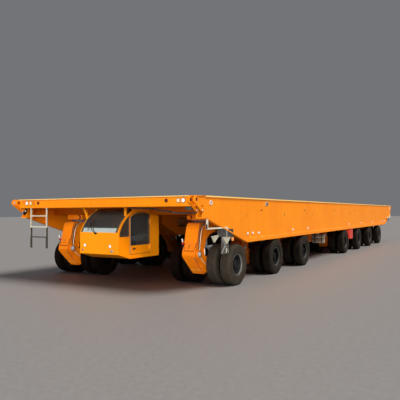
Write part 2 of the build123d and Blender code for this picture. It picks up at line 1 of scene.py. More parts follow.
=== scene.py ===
"""Looks of a self-propelled modular transporter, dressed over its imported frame.

Metres, in the frame's own axes: X across, Y along with the front at -Y, Z up from the ground.
"""

from __future__ import annotations

import json
import logging
import math
import random
from dataclasses import dataclass
from enum import Enum
from typing import Sequence

import bmesh
import bpy
from mathutils import Matrix, Vector

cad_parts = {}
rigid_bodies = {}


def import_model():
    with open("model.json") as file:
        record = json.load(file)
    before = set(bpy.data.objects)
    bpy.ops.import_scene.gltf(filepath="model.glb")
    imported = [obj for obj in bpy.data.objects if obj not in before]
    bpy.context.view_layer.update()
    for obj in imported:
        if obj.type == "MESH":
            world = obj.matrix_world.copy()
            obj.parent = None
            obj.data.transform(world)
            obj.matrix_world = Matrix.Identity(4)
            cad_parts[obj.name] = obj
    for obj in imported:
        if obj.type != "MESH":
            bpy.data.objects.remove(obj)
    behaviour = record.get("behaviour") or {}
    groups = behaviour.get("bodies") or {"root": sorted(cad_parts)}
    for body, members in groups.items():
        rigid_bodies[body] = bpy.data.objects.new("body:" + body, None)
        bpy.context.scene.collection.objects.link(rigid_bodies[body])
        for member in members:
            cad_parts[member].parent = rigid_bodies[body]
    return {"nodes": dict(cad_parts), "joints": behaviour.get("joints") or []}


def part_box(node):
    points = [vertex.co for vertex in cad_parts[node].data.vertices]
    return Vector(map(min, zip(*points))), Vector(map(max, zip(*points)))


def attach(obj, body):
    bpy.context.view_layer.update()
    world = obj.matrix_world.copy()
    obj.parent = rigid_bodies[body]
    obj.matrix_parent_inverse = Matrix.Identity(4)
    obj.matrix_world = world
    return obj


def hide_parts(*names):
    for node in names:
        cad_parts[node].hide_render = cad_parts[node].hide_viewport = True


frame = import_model()
log = logging.getLogger("transporter")

Colour = tuple[float, float, float]
Point = tuple[float, float, float]
Flat = tuple[float, float]

FRONT_EYES = -13.35      # Y of the front coupling eyes
EYE_SPACING = 26.7       # from the front coupling eyes to the rear ones
ON_AXIS = 1e-4           # radius that closes a turned profile on its axis


def at(station: float) -> float:
    """Y of a station measured back from the front coupling eyes.

    Args:
        station: The station, in metres.

    Returns:
        Its Y.
    """
    return station + FRONT_EYES


def rect(first: Flat, opposite: Flat) -> list[Flat]:
    """The corners of an upright rectangle.

    Args:
        first: The corner to start from.
        opposite: The corner across from it.

    Returns:
        The four corners in order.
    """
    return [first, (opposite[0], first[1]), opposite, (first[0], opposite[1])]


def circle(count: int, radius: float, start: float = 0.0) -> list[Flat]:
    """Points spread evenly round a circle.

    Args:
        count: How many points.
        radius: The circle's radius.
        start: Share of a step that they are turned by.

    Returns:
        The cosine and the sine part of each point.
    """
    angles = (2 * math.pi * (i + start) / count for i in range(count))
    return [(radius * math.cos(angle), radius * math.sin(angle)) for angle in angles]


def stand(name: str, data: bpy.types.ID, place: Matrix | None = None) -> bpy.types.Object:
    """Put an object in the scene.

    Args:
        name: Its name.
        data: Its mesh, text, camera or light.
        place: Where it stands, or None for the origin.

    Returns:
        The new object.
    """
    made = bpy.data.objects.new(name, data)
    if place is not None:
        made.matrix_world = place
    bpy.context.scene.collection.objects.link(made)
    return made


def steering_joints() -> list[dict]:
    """The frame's steering joints, one for each bogie.

    Returns:
        The joints, in the frame's order.
    """
    return [joint for joint in frame["joints"] if joint["name"].startswith("steer_")]


def rounded(points: Sequence[Flat], radius: float, steps: int = 4) -> list[Flat]:
    """A closed flat outline with its corners rounded.

    Args:
        points: The outline's corners in order.
        radius: How far from a corner its rounding starts.
        steps: Divisions of each rounded corner.

    Returns:
        The rounded outline, with steps + 1 points for each corner.
    """
    made = []
    for i, corner in enumerate(points):
        here = Vector(corner)
        before = Vector(points[i - 1]) - here
        after = Vector(points[(i + 1) % len(points)]) - here
        start = here + before.normalized() * min(radius, before.length * 0.45)
        end = here + after.normalized() * min(radius, after.length * 0.45)
        for step in range(steps + 1):
            t = step / steps
            spot = start * (1 - t) ** 2 + here * (2 * t * (1 - t)) + end * t ** 2
            made.append((spot.x, spot.y))
    return made


class Side(Enum):
    """A long side of the transporter."""

    LEFT = -1
    RIGHT = 1


class End(Enum):
    """An end of the transporter, as the sign that its Y has there."""

    FRONT = -1
    REAR = 1

    def y(self, station: float) -> float:
        """Y of a station measured in from this end's coupling eyes.

        Args:
            station: The station, in metres.

        Returns:
            Its Y.
        """
        return -self.value * at(station)


class Across(Enum):
    """The axis that a flat outline is pushed along."""

    X = 0
    Y = 1
    Z = 2


class Bench:
    """The node tree of one material, with a short call for each step of it."""

    def __init__(self, material: bpy.types.Material) -> None:
        """Start from an empty tree with the main shader and its output.

        Args:
            material: The material to fill.
        """
        material.use_nodes = True
        self.tree = material.node_tree
        self.tree.nodes.clear()
        self.shader = self.add("ShaderNodeBsdfPrincipled")
        output = self.add("ShaderNodeOutputMaterial")
        self.tree.links.new(self.shader.outputs[0], output.inputs["Surface"])
        self.place = self.add("ShaderNodeTexCoord").outputs["Object"]

    def add(self, kind: str, **settings: object) -> bpy.types.Node:
        """Add a node.

        Args:
            kind: The node's type name.
            **settings: Its properties.

        Returns:
            The new node.
        """
        node = self.tree.nodes.new(kind)
        for name, value in settings.items():
            setattr(node, name, value)
        return node

    def feed(self, socket: bpy.types.NodeSocket, value: object) -> None:
        """Link a socket or set it to a constant.

        Args:
            socket: The input.
            value: Another node's output, a number or a colour.
        """
        if isinstance(value, bpy.types.NodeSocket):
            self.tree.links.new(value, socket)
        elif isinstance(value, tuple) and len(value) == 3 and socket.type == "RGBA":
            socket.default_value = (*value, 1.0)
        else:
            socket.default_value = value

    def set(self, name: str, value: object) -> None:
        """Feed one of the main shader's inputs.

        Args:
            name: The input's name.
            value: An output, a number or a colour.
        """
        self.feed(self.shader.inputs[name], value)

    def noise(self, scale: float, detail: float = 3.0, stretch: Point = (1, 1, 1)) -> bpy.types.NodeSocket:
        """Cloudy noise in the piece's own space.

        Args:
            scale: Features per metre.
            detail: Octaves.
            stretch: Scale along each axis, before the noise.

        Returns:
            The noise, about 0.5 on average.
        """
        mapping = self.add("ShaderNodeMapping")
        self.feed(mapping.inputs["Vector"], self.place)
        mapping.inputs["Scale"].default_value = stretch
        cloud = self.add("ShaderNodeTexNoise")
        self.feed(cloud.inputs["Vector"], mapping.outputs[0])
        cloud.inputs["Scale"].default_value = scale
        cloud.inputs["Detail"].default_value = detail
        return cloud.outputs[0]

    def span(self, value: object, low: float, high: float, to_low: float = 0.0, to_high: float = 1.0
             ) -> bpy.types.NodeSocket:
        """Map a range of values onto another, clamped.

        Args:
            value: The input.
            low: Input that gives to_low.
            high: Input that gives to_high.
            to_low: Output at the low end.
            to_high: Output at the high end.

        Returns:
            The mapped value.
        """
        node = self.add("ShaderNodeMapRange")
        for name, number in (("Value", value), ("From Min", low), ("From Max", high),
                             ("To Min", to_low), ("To Max", to_high)):
            self.feed(node.inputs[name], number)
        return node.outputs[0]

    def mix(self, share: object, first: object, second: object) -> bpy.types.NodeSocket:
        """Mix two colours.

        Args:
            share: How much of the second colour shows.
            first: The colour at 0.
            second: The colour at 1.

        Returns:
            The mixed colour.
        """
        node = self.add("ShaderNodeMix", data_type="RGBA")
        self.feed(node.inputs[0], share)
        self.feed(node.inputs[6], first)
        self.feed(node.inputs[7], second)
        return node.outputs[2]

    def sum(self, operation: str, first: object, second: object) -> bpy.types.NodeSocket:
        """Join two numbers by an operation such as ADD or MULTIPLY, clamped to 0 to 1.

        Args:
            operation: The operation's name.
            first: The first number.
            second: The second number.

        Returns:
            The result.
        """
        node = self.add("ShaderNodeMath", operation=operation, use_clamp=True)
        self.feed(node.inputs[0], first)
        self.feed(node.inputs[1], second)
        return node.outputs[0]

    def upward(self) -> bpy.types.NodeSocket:
        """How far a face looks up.

        Returns:
            From -1 for a face that looks down to 1 for one that looks up.
        """
        normal = self.add("ShaderNodeNewGeometry").outputs["Normal"]
        split = self.add("ShaderNodeSeparateXYZ")
        self.feed(split.inputs[0], normal)
        return split.outputs["Z"]

    def edges(self, radius: float) -> bpy.types.NodeSocket:
        """A mask that is 1 along sharp edges.

        Args:
            radius: Width of the worn band, in metres.

        Returns:
            The mask.
        """
        rounded = self.add("ShaderNodeBevel", samples=4)
        rounded.inputs["Radius"].default_value = radius
        normal = self.add("ShaderNodeNewGeometry").outputs["Normal"]
        dot = self.add("ShaderNodeVectorMath", operation="DOT_PRODUCT")
        self.feed(dot.inputs[0], rounded.outputs[0])
        self.feed(dot.inputs[1], normal)
        return self.span(dot.outputs["Value"], 0.99, 0.80)

    def bump(self, height: object, depth: float, strength: float = 1.0, soften: float = 0.0) -> None:
        """Raise the surface by a height map, over edges that are rounded a little.

        Args:
            height: The height, from 0 to 1.
            depth: Its depth in metres.
            strength: Share of the effect.
            soften: Radius that sharp edges are rounded to, or 0.
        """
        node = self.add("ShaderNodeBump")
        node.inputs["Distance"].default_value = depth
        node.inputs["Strength"].default_value = strength
        self.feed(node.inputs["Height"], height)
        if soften:
            rounded = self.add("ShaderNodeBevel", samples=4)
            rounded.inputs["Radius"].default_value = soften
            self.feed(node.inputs["Normal"], rounded.outputs[0])
        self.set("Normal", node.outputs[0])


@dataclass(frozen=True)
class Finish:
    """A named material that is built the first time it is asked for."""

    name: str

    def material(self) -> bpy.types.Material:
        """The finish as a material, built once.

        Returns:
            The material.
        """
        found = bpy.data.materials.get(self.name)
        if found is None:
            found = bpy.data.materials.new(self.name)
            self.build(Bench(found))
        return found

    def build(self, bench: Bench) -> None:
        """Lay the finish out.

        Args:
            bench: The material's bench.
        """
        raise NotImplementedError


@dataclass(frozen=True)
class Paint(Finish):
    """Sprayed machine paint: clouded, streaked by rain, dusty on top and chipped along its edges."""

    colour: Colour = (0.95, 0.28, 0.002)
    shade: Colour = (0.86, 0.22, 0.002)
    chip: Colour = (0.16, 0.07, 0.04)
    dust: Colour = (0.45, 0.33, 0.2)
    dustiness: float = 0.25
    wear: float = 0.35
    gloss: float = 0.38

    def build(self, bench: Bench) -> None:
        """Lay the paint out: clouds, streaks, dust, chips, then its orange peel.

        Args:
            bench: The material's bench.
        """
        clouds = bench.span(bench.noise(0.9, 4.0), 0.35, 0.7)
        streaks = bench.span(bench.noise(9.0, 4.0, (1.0, 1.0, 0.08)), 0.5, 0.8, 0.0, 0.5)
        body = bench.mix(bench.sum("ADD", bench.sum("MULTIPLY", clouds, 0.6), streaks), self.colour,
                         self.shade)
        lying = bench.span(bench.upward(), 0.4, 1.0, 0.05, 1.0)
        patches = bench.span(bench.noise(3.5, 6.0), 0.42, 0.72, 0.0, self.dustiness)
        dusty = bench.mix(bench.sum("MULTIPLY", lying, patches), body, self.dust)
        nicks = bench.span(bench.noise(38.0, 6.0), 0.55, 0.66)
        worn = bench.sum("MULTIPLY", bench.edges(0.012), nicks)
        spots = bench.span(bench.noise(21.0, 7.0), 0.73, 0.76)
        bare = bench.sum("MULTIPLY", bench.sum("ADD", worn, spots), self.wear)
        bench.set("Base Color", bench.mix(bare, dusty, self.chip))
        bench.set("Roughness", bench.span(bench.noise(5.0, 5.0), 0.3, 0.75, self.gloss, self.gloss + 0.22))
        bench.set("Specular IOR Level", 0.2)
        bench.set("Coat Weight", 0.04)
        bench.set("Coat Roughness", 0.25)
        bench.bump(bench.noise(140.0, 2.0), 0.0006, 0.35, soften=0.004)


@dataclass(frozen=True)
class Rubber(Finish):
    """Tyre rubber: near black, with dust ground into it in clouds and scuffs."""

    colour: Colour = (0.013, 0.011, 0.009)
    dust: Colour = (0.072, 0.051, 0.031)
    dustiness: float = 0.6

    def build(self, bench: Bench) -> None:
        """Lay the rubber out: dust clouds, scuffs and a fine grain.

        Args:
            bench: The material's bench.
        """
        clouds = bench.span(bench.noise(6.0, 6.0), 0.3, 0.75, 0.12, self.dustiness)
        scuffs = bench.span(bench.noise(60.0, 5.0), 0.45, 0.7, 0.0, 0.4)
        share = bench.sum("MULTIPLY", bench.sum("ADD", clouds, scuffs), 0.8)
        bench.set("Base Color", bench.mix(share, self.colour, self.dust))
        bench.set("Roughness", bench.span(bench.noise(30.0, 4.0), 0.3, 0.7, 0.68, 0.9))
        bench.set("Specular IOR Level", 0.25)
        bench.bump(bench.noise(220.0, 4.0), 0.0012, 0.5)


@dataclass(frozen=True)
class Metal(Finish):
    """Bare, plated or thinly painted metal with stains and scratches."""

    colour: Colour = (0.5, 0.5, 0.5)
    stain: Colour = (0.2, 0.12, 0.07)
    metallic: float = 0.9
    rough: float = 0.35
    staining: float = 0.3

    def build(self, bench: Bench) -> None:
        """Lay the metal out: stains, brushed scratches and uneven gloss.

        Args:
            bench: The material's bench.
        """
        stains = bench.span(bench.noise(8.0, 6.0), 0.5, 0.8, 0.0, self.staining)
        bench.set("Base Color", bench.mix(stains, self.colour, self.stain))
        bench.set("Metallic", self.metallic)
        scratches = bench.noise(60.0, 3.0, (1.0, 1.0, 0.15))
        bench.set("Roughness", bench.span(scratches, 0.3, 0.7, self.rough, self.rough + 0.25))
        bench.set("Specular IOR Level", 0.2)
        bench.bump(scratches, 0.0006, 0.3, soften=0.002)


@dataclass(frozen=True)
class Glazing(Finish):
    """Window glass, lightly tinted, with a film of dust."""

    tint: Colour = (0.32, 0.36, 0.34)
    dust: Colour = (0.4, 0.36, 0.3)

    def build(self, bench: Bench) -> None:
        """Lay the glass out: tint, dust film and faint waves.

        Args:
            bench: The material's bench.
        """
        film = bench.span(bench.noise(5.0, 5.0), 0.5, 0.8, 0.0, 0.2)
        bench.set("Base Color", bench.mix(film, self.tint, self.dust))
        bench.set("Roughness", bench.span(bench.noise(9.0, 3.0), 0.4, 0.8, 0.02, 0.14))
        bench.set("Transmission Weight", 0.9)
        bench.set("IOR", 1.45)
        bench.bump(bench.noise(2.0, 1.0), 0.002, 0.08)


@dataclass(frozen=True)
class Lens(Finish):
    """A lamp's ribbed plastic lens."""

    colour: Colour = (0.9, 0.88, 0.8)
    glow: float = 0.25

    def build(self, bench: Bench) -> None:
        """Lay the lens out: dusty plastic over a bright reflector, with fine ribs.

        Args:
            bench: The material's bench.
        """
        haze = bench.span(bench.noise(40.0, 3.0), 0.4, 0.8, 0.0, 0.35)
        shade = bench.mix(haze, self.colour, (0.45, 0.42, 0.36))
        bench.set("Base Color", shade)
        bench.set("Roughness", bench.span(haze, 0.0, 0.35, 0.12, 0.4))
        bench.set("Coat Weight", 0.6)
        bench.set("Emission Color", shade)
        bench.set("Emission Strength", self.glow)
        ribs = bench.add("ShaderNodeTexWave", bands_direction="X")
        bench.feed(ribs.inputs["Vector"], bench.place)
        ribs.inputs["Scale"].default_value = 50.0
        bench.bump(ribs.outputs[1], 0.001, 0.5)


@dataclass(frozen=True)
class Trim(Finish):
    """Dark rubber or plastic trim, hose and mat."""

    colour: Colour = (0.02, 0.02, 0.02)
    dust: Colour = (0.16, 0.14, 0.11)
    grain: float = 160.0

    def build(self, bench: Bench) -> None:
        """Lay the trim out: dust in patches and a fine grain.

        Args:
            bench: The material's bench.
        """
        film = bench.span(bench.noise(12.0, 5.0), 0.4, 0.8, 0.05, 0.5)
        bench.set("Base Color", bench.mix(film, self.colour, self.dust))
        bench.set("Roughness", bench.span(film, 0.0, 0.5, 0.45, 0.8))
        bench.bump(bench.noise(self.grain, 3.0), 0.0008, 0.4)


FRAME_PAINT = Paint("frame_paint")
CAB_PAINT = Paint("cab_paint", colour=(0.95, 0.32, 0.002), shade=(0.9, 0.27, 0.002), dustiness=0.15,
                  wear=0.15, gloss=0.3)
ARM_PAINT = Paint("arm_paint", colour=(0.95, 0.235, 0.002), shade=(0.82, 0.17, 0.003), wear=0.5)
CREAM_PAINT = Paint("cream_paint", colour=(0.72, 0.66, 0.5), shade=(0.6, 0.54, 0.4), dust=(0.35, 0.28, 0.2))
PANEL_PAINT = Paint("panel_paint", colour=(0.7, 0.18, 0.01), shade=(0.5, 0.12, 0.01))
CHASSIS_GREY = Metal("chassis_grey", colour=(0.09, 0.09, 0.095), metallic=0.3, rough=0.5, staining=0.5)
RIM_GREY = Metal("rim_grey", colour=(0.17, 0.175, 0.165), metallic=0.3, rough=0.4, staining=0.6)
# Near-black metal for dark hardware, also used as painted shade inside the rims and between the twin tyres
DARK_METAL_AND_PAINTED_SHADE = Metal("hub_dark", colour=(0.008, 0.008, 0.009), stain=(0.025, 0.018, 0.012), metallic=0.1,
                 rough=0.5, staining=0.5)
CHROME = Metal("chrome", colour=(0.8, 0.8, 0.8), metallic=1.0, rough=0.12, staining=0.12)
BLOCK_IRON = Metal("block_iron", colour=(0.16, 0.16, 0.15), metallic=0.7, rough=0.55, staining=0.7)
TYRE_RUBBER = Rubber("tyre_rubber")
CAB_GLASS = Glazing("cab_glass_clear")
WHITE_LENS = Lens("white_lens")
DARK_TRIM = Trim("dark_trim_plastic")

AMBER_LENS = Lens("amber_lens", colour=(0.85, 0.3, 0.03), glow=0.15)
CREAM_LENS = Lens("cream_lens", colour=(0.85, 0.62, 0.34), glow=0.2)
RED_LENS = Lens("red_lens", colour=(0.6, 0.03, 0.02), glow=0.1)
WHITE_PAINT = Paint("white_paint", colour=(0.75, 0.75, 0.72), shade=(0.6, 0.6, 0.57), wear=0.2)
GREY_PAINT = Paint("grey_paint", colour=(0.33, 0.33, 0.32), shade=(0.24, 0.24, 0.24), wear=0.3)
SLATE_PAINT = Paint("slate_paint", colour=(0.46, 0.53, 0.5), shade=(0.38, 0.44, 0.42), wear=0.1)
# Light yellow-orange: a painted highlight on the bogies' lower seam, the foot band's upper edge and the
# gussets
PAINTED_HIGHLIGHT_ORANGE = Paint("weld_paint", colour=(0.95, 0.5, 0.08), shade=(0.9, 0.4, 0.05), wear=0.1)
RED_PAINT = Paint("red_paint", colour=(0.62, 0.03, 0.012), shade=(0.45, 0.02, 0.01), dust=(0.3, 0.12, 0.08))
SEAM_PAINT = Paint("seam_paint", colour=(0.2, 0.03, 0.008), shade=(0.12, 0.02, 0.006), dustiness=0.1)
MARK_PAINT = Paint("mark_paint", colour=(0.05, 0.02, 0.02), shade=(0.08, 0.03, 0.02), dustiness=0.1)
DARK_SEAL = Trim("dark_seal")
HOSE_RUBBER = Trim("hose_rubber", colour=(0.015, 0.015, 0.016), grain=220.0)
BLOCK_RUBBER = Trim("block_rubber", colour=(0.03, 0.028, 0.026), grain=60.0)
FLAP_RUBBER = Trim("flap_rubber", colour=(0.06, 0.052, 0.042), dust=(0.14, 0.12, 0.09), grain=90.0)
# Pale yellow for the deck's edges: a painted highlight
PAINTED_EDGE_HIGHLIGHT = Paint("edge_paint", colour=(0.97, 0.62, 0.2), shade=(0.95, 0.55, 0.12), dustiness=0.1, wear=0.1)
CHOCK_PAINT = Paint("chock_paint", colour=(0.5, 0.46, 0.35), shade=(0.42, 0.38, 0.28),
                    dust=(0.3, 0.25, 0.18))
# Near-black sheets set in slots, holes, horn mouths, behind louvres and between the lug plates: painted shade
PAINTED_SHADE_DARK = Trim("slot_dark", colour=(0.03, 0.006, 0.003), dust=(0.08, 0.02, 0.01))
SEAT_CLOTH = Trim("seat_cloth", colour=(0.09, 0.105, 0.10), dust=(0.18, 0.18, 0.16), grain=420.0)

DRESSING: dict[str, Finish] = {
    "side_girders": FRAME_PAINT,
    "end_beams": FRAME_PAINT,
    "cross_beams": FRAME_PAINT,
    "spine_box": FRAME_PAINT,
    "cab_shell": CAB_PAINT,
    "cab_door": CAB_PAINT,
    "door_glass": CAB_GLASS,
    "cab_glass": CAB_GLASS,
    "power_pack": PANEL_PAINT,
    "engine_block": BLOCK_IRON,
    "tanks": CREAM_PAINT,
}


class Form:
    """A mesh in the making. Solids are added to it in their own finishes, then it becomes one piece."""

    def __init__(self) -> None:
        """Start an empty mesh."""
        self.mesh = bmesh.new()
        self.finishes: list[Finish] = []

    def slot(self, finish: Finish) -> int:
        """The material index of a finish on this piece.

        Args:
            finish: The finish.

        Returns:
            Its index, added if it is new here.
        """
        if finish not in self.finishes:
            self.finishes.append(finish)
        return self.finishes.index(finish)

    def faces(self, corners: Sequence[Sequence[float]], loops: Sequence[Sequence[int]],
              finish: Finish) -> None:
        """Add faces over a list of corners.

        Args:
            corners: The points.
            loops: Each face as indices into the corners.
            finish: What the faces are made of.
        """
        points = [self.mesh.verts.new(c) for c in corners]
        index = self.slot(finish)
        for loop in loops:
            face = self.mesh.faces.new([points[i] for i in loop])
            face.material_index = index

    def prism(self, outline: Sequence[Flat], across: Across, low: float, high: float,
              finish: Finish) -> None:
        """Add a flat outline pushed along an axis.

        Args:
            outline: Points in the two other axes, in their order X, Y, Z.
            across: The axis to push along.
            low: Where the solid starts on that axis.
            high: Where it ends. The two may come in either order.
            finish: What it is made of.
        """
        count = len(outline)
        corners = []
        for level in sorted((low, high)):
            for point in outline:
                place = list(point)
                place.insert(across.value, level)
                corners.append(place)
        sides = [(i, (i + 1) % count, count + (i + 1) % count, count + i) for i in range(count)]
        self.faces(corners, [tuple(range(count)), tuple(range(count, 2 * count)), *sides], finish)

    def box(self, low: Sequence[float], high: Sequence[float], finish: Finish) -> None:
        """Add a block between two opposite corners.

        Args:
            low: One corner.
            high: The corner across from it.
            finish: What it is made of.
        """
        (x0, x1), (y0, y1), (z0, z1) = (sorted(pair) for pair in zip(low, high))
        self.prism(rect((x0, y0), (x1, y1)), Across.Z, z0, z1, finish)

    def band(self, outer: Sequence[Flat], inner: Sequence[Flat], across: Across, low: float, high: float,
             finish: Finish) -> None:
        """Add a flat frame between two outlines that have as many points.

        Args:
            outer: The frame's outside, in the two other axes.
            inner: Its opening.
            across: The axis that it is thick along.
            low: Where it starts on that axis.
            high: Where it ends. The two may come in either order.
            finish: What it is made of.
        """
        count = len(outer)
        corners = []
        for level in sorted((low, high)):
            for loop in (outer, inner):
                for point in loop:
                    place = list(point)
                    place.insert(across.value, level)
                    corners.append(place)
        loops = []
        for i in range(count):
            j = (i + 1) % count
            a, b, c, d = 0, count, 2 * count, 3 * count
            loops += [(a + i, a + j, b + j, b + i), (c + i, d + i, d + j, c + j),
                      (a + i, c + i, c + j, a + j), (b + i, b + j, d + j, d + i)]
        self.faces(corners, loops, finish)

    def turned(self, profile: Sequence[Flat], centre: Sequence[float], along: Sequence[float], steps: int,
               finish: Finish, closed: bool = False) -> None:
        """Add a profile turned about an axis.

        Args:
            profile: Points as distance along the axis and radius.
            centre: Where the axis starts.
            along: The axis.
            steps: Divisions of the full turn.
            finish: What it is made of.
            closed: Whether the last point joins the first.
        """
        turn = Vector(along).to_track_quat("X", "Z").to_matrix()
        corners = []
        for step in range(steps):
            angle = 2 * math.pi * step / steps
            for distance, radius in profile:
                spot = Vector((distance, radius * math.sin(angle), -radius * math.cos(angle)))
                corners.append(Vector(centre) + turn @ spot)
        count = len(profile)
        loops = []
        for step in range(steps):
            after = (step + 1) % steps
            for i in range(count if closed else count - 1):
                j = (i + 1) % count
                loops.append((step * count + i, step * count + j, after * count + j, after * count + i))
        self.faces(corners, loops, finish)

    def rod(self, start: Sequence[float], end: Sequence[float], radius: float, finish: Finish,
            steps: int = 16, chamfer: float = 0.15) -> None:
        """Add a round bar with small chamfers.

        Args:
            start: The middle of one end.
            end: The middle of the other.
            radius: Its radius.
            finish: What it is made of.
            steps: Divisions of the round.
            chamfer: Chamfer as a share of the radius.
        """
        axis = Vector(end) - Vector(start)
        cut = radius * chamfer
        length = axis.length
        profile = [(0, ON_AXIS), (0, radius - cut), (cut, radius), (length - cut, radius),
                   (length, radius - cut), (length, ON_AXIS)]
        self.turned(profile, start, axis, steps, finish)

    def piece(self, name: str, smooth_below: float = 35.0) -> bpy.types.Object:
        """Finish the mesh as an object in the scene.

        Args:
            name: The piece's name.
            smooth_below: Edges with a smaller angle than this are shaded round.

        Returns:
            The new object.
        """
        bmesh.ops.recalc_face_normals(self.mesh, faces=self.mesh.faces)
        data = bpy.data.meshes.new(name)
        self.mesh.to_mesh(data)
        self.mesh.free()
        for finish in self.finishes:
            data.materials.append(finish.material())
        data.shade_smooth()
        data.set_sharp_from_angle(angle=math.radians(smooth_below))
        return stand(name, data)


class Pipes:
    """Fixed pipes and clipped hoses of one finish and bore, each along its own route."""

    def __init__(self, name: str, radius: float, finish: Finish) -> None:
        """Start an empty bundle.

        Args:
            name: The piece's name.
            radius: Radius of every pipe.
            finish: What the pipes are made of.
        """
        self.data = bpy.data.curves.new(name, "CURVE")
        self.data.dimensions = "3D"
        self.data.bevel_depth = radius
        self.data.bevel_resolution = 3
        self.data.resolution_u = 5
        self.data.use_fill_caps = True
        self.data.materials.append(finish.material())

    def run(self, *route: Point) -> None:
        """Add a pipe.

        Args:
            *route: Its points in order.
        """
        spline = self.data.splines.new("NURBS")
        spline.points.add(len(route) - 1)
        for point, place in zip(spline.points, route):
            point.co = (*place, 1.0)
        spline.order_u = 3
        spline.use_endpoint_u = True

    def piece(self) -> bpy.types.Object:
        """Put the bundle in the scene, as a mesh.

        Returns:
            The new object.
        """
        drawn = bpy.data.objects.new(self.data.name, self.data)
        mesh = bpy.data.meshes.new_from_object(drawn)
        mesh.name = self.data.name
        mesh.shade_smooth()
        bpy.data.objects.remove(drawn)
        return stand(mesh.name, mesh)


DIGIT_SHARE = 0.7        # a digit's height as a share of its font size
NUMBER_THICK = 0.0008


def numeral(name: str, text: str, height: float, middle: Point, right: Point, up: Point, finish: Finish
            ) -> bpy.types.Object:
    """A painted plain number that lies on a plate.

    Args:
        name: The piece's name.
        text: The digits.
        height: Their height.
        middle: Where their middle is.
        right: Direction that the number reads in.
        up: Direction of its top.
        finish: Its paint.

    Returns:
        The new object.
    """
    data = bpy.data.curves.new(name, "FONT")
    data.body = text
    data.size = height / DIGIT_SHARE
    data.align_x = "CENTER"
    data.align_y = "CENTER"
    data.extrude = NUMBER_THICK
    data.materials.append(finish.material())
    across, above = Vector(right).normalized(), Vector(up).normalized()
    turn = Matrix((across, above, across.cross(above))).transposed().to_4x4()
    return stand(name, data, Matrix.Translation(middle) @ turn)


@dataclass
class Studio:
    """Camera, floor and lights."""

    camera_place: Point = (9.118, -22.922, 1.991)
    yaw: float = 31.0
    pitch: float = 1.485
    roll: float = -0.243
    lens: float = 42.83
    sensor: float = 36.0
    floor_size: float = 400.0
    surround: tuple[float, ...] = (0.84, 0.87, 0.93, 1.0)
    surround_power: float = 0.20
    # Each light's direction, spread in degrees, power and colour
    key_light: tuple = ((0.50, 0.14, 0.82), 28.0, 2.4, (1.0, 0.96, 0.9))
    front_light: tuple = ((0.44, -0.86, 0.14), 34.0, 4.1)
    side_light: tuple = ((0.96, -0.06, 0.26), 12.0, 1.9, (1.0, 0.62, 0.36))
    # Starts of the names of what stands deep under the deck, and of what the side light reaches
    deep: tuple[str, ...] = ("floor", "wheels_left_1", "wheels_right_1_inner", "spine_", "pipe_clips",
                             "bay_hoses", "pack_panels", "tank_straps", "cross_beams", "spine_box",
                             "power_pack", "tanks", "engine_block")
    cab: tuple[str, ...] = ("cab_", "door_trim")

    def set_camera(self) -> None:
        """Stand the camera where the photograph was taken from."""
        data = bpy.data.cameras.new("camera")
        data.lens = self.lens
        data.sensor_width = self.sensor
        data.clip_end = 1000.0
        yaw, pitch = math.radians(self.yaw), math.radians(self.pitch)
        ahead = Vector((-math.sin(yaw) * math.cos(pitch), math.cos(yaw) * math.cos(pitch), math.sin(pitch)))
        level = ahead.to_track_quat("-Z", "Y").to_matrix().to_4x4()
        tilt = Matrix.Rotation(math.radians(self.roll), 4, "Z")
        place = Matrix.Translation(self.camera_place) @ level @ tilt
        bpy.context.scene.camera = stand("camera", data, place)

    def lay_floor(self) -> None:
        """Lay a plain pale floor."""
        half = self.floor_size / 2
        form = Form()
        finish = Trim("pale_floor", colour=(0.36, 0.345, 0.34), dust=(0.42, 0.41, 0.4), grain=40.0)
        corners = [(x, y, 0) for x, y in rect((-half, -half), (half, half))]
        form.faces(corners, [(0, 1, 2, 3)], finish)
        form.piece("floor")

    def shine(self, name: str, towards: Point, spread: float, power: float, colour: Colour = (1, 1, 1)
              ) -> bpy.types.Object:
        """Add a far, broad light that is even over the whole length.

        Args:
            name: The light's name.
            towards: Direction of the light as seen from the transporter.
            spread: How broad it is, in degrees.
            power: Its strength.
            colour: Its colour.

        Returns:
            The light.
        """
        data = bpy.data.lights.new(name, "SUN")
        data.angle = math.radians(spread)
        data.energy = power
        data.color = colour
        light = stand(name, data)
        light.rotation_euler = (-Vector(towards)).to_track_quat("-Z", "Y").to_euler()
        return light

    def shade(self) -> None:
        """Keep the front light off the floor and the deep inside, and the side light on the cab alone."""
        kept_off = bpy.data.collections.new("front_light_keeps_off")
        self.front.light_linking.receiver_collection = kept_off
        reached = bpy.data.collections.new("side_light_reaches")
        self.shine("side", *self.side_light).light_linking.receiver_collection = reached
        lines = tuple(f"_{side.name.lower()}_{line}" for side in Side for line in range(2, 8))
        for thing in bpy.data.objects:
            if thing.type != "MESH":
                continue
            far = thing.name.endswith(lines) or any(f"{mark}_" in thing.name for mark in lines)
            if thing.name.startswith(self.deep) or (far and not thing.name.startswith("line_number")):
                kept_off.objects.link(thing)
            if thing.name.startswith(self.cab):
                reached.objects.link(thing)
        for entry in kept_off.collection_objects:
            entry.light_linking.link_state = "EXCLUDE"

    def light(self) -> None:
        """Soft light: an even surround, a key high on the right and a lower one from the front."""
        world = bpy.data.worlds.new("studio")
        world.use_nodes = True
        backdrop = world.node_tree.nodes["Background"]
        backdrop.inputs[0].default_value = self.surround
        backdrop.inputs[1].default_value = self.surround_power
        bpy.context.scene.world = world
        self.shine("key", *self.key_light)
        self.front = self.shine("front", *self.front_light)
        bpy.context.scene.view_settings.view_transform = "Standard"

    def build(self) -> None:
        """Set the camera, floor and lights."""
        self.set_camera()
        self.lay_floor()
        self.light()
        log.info("studio set")


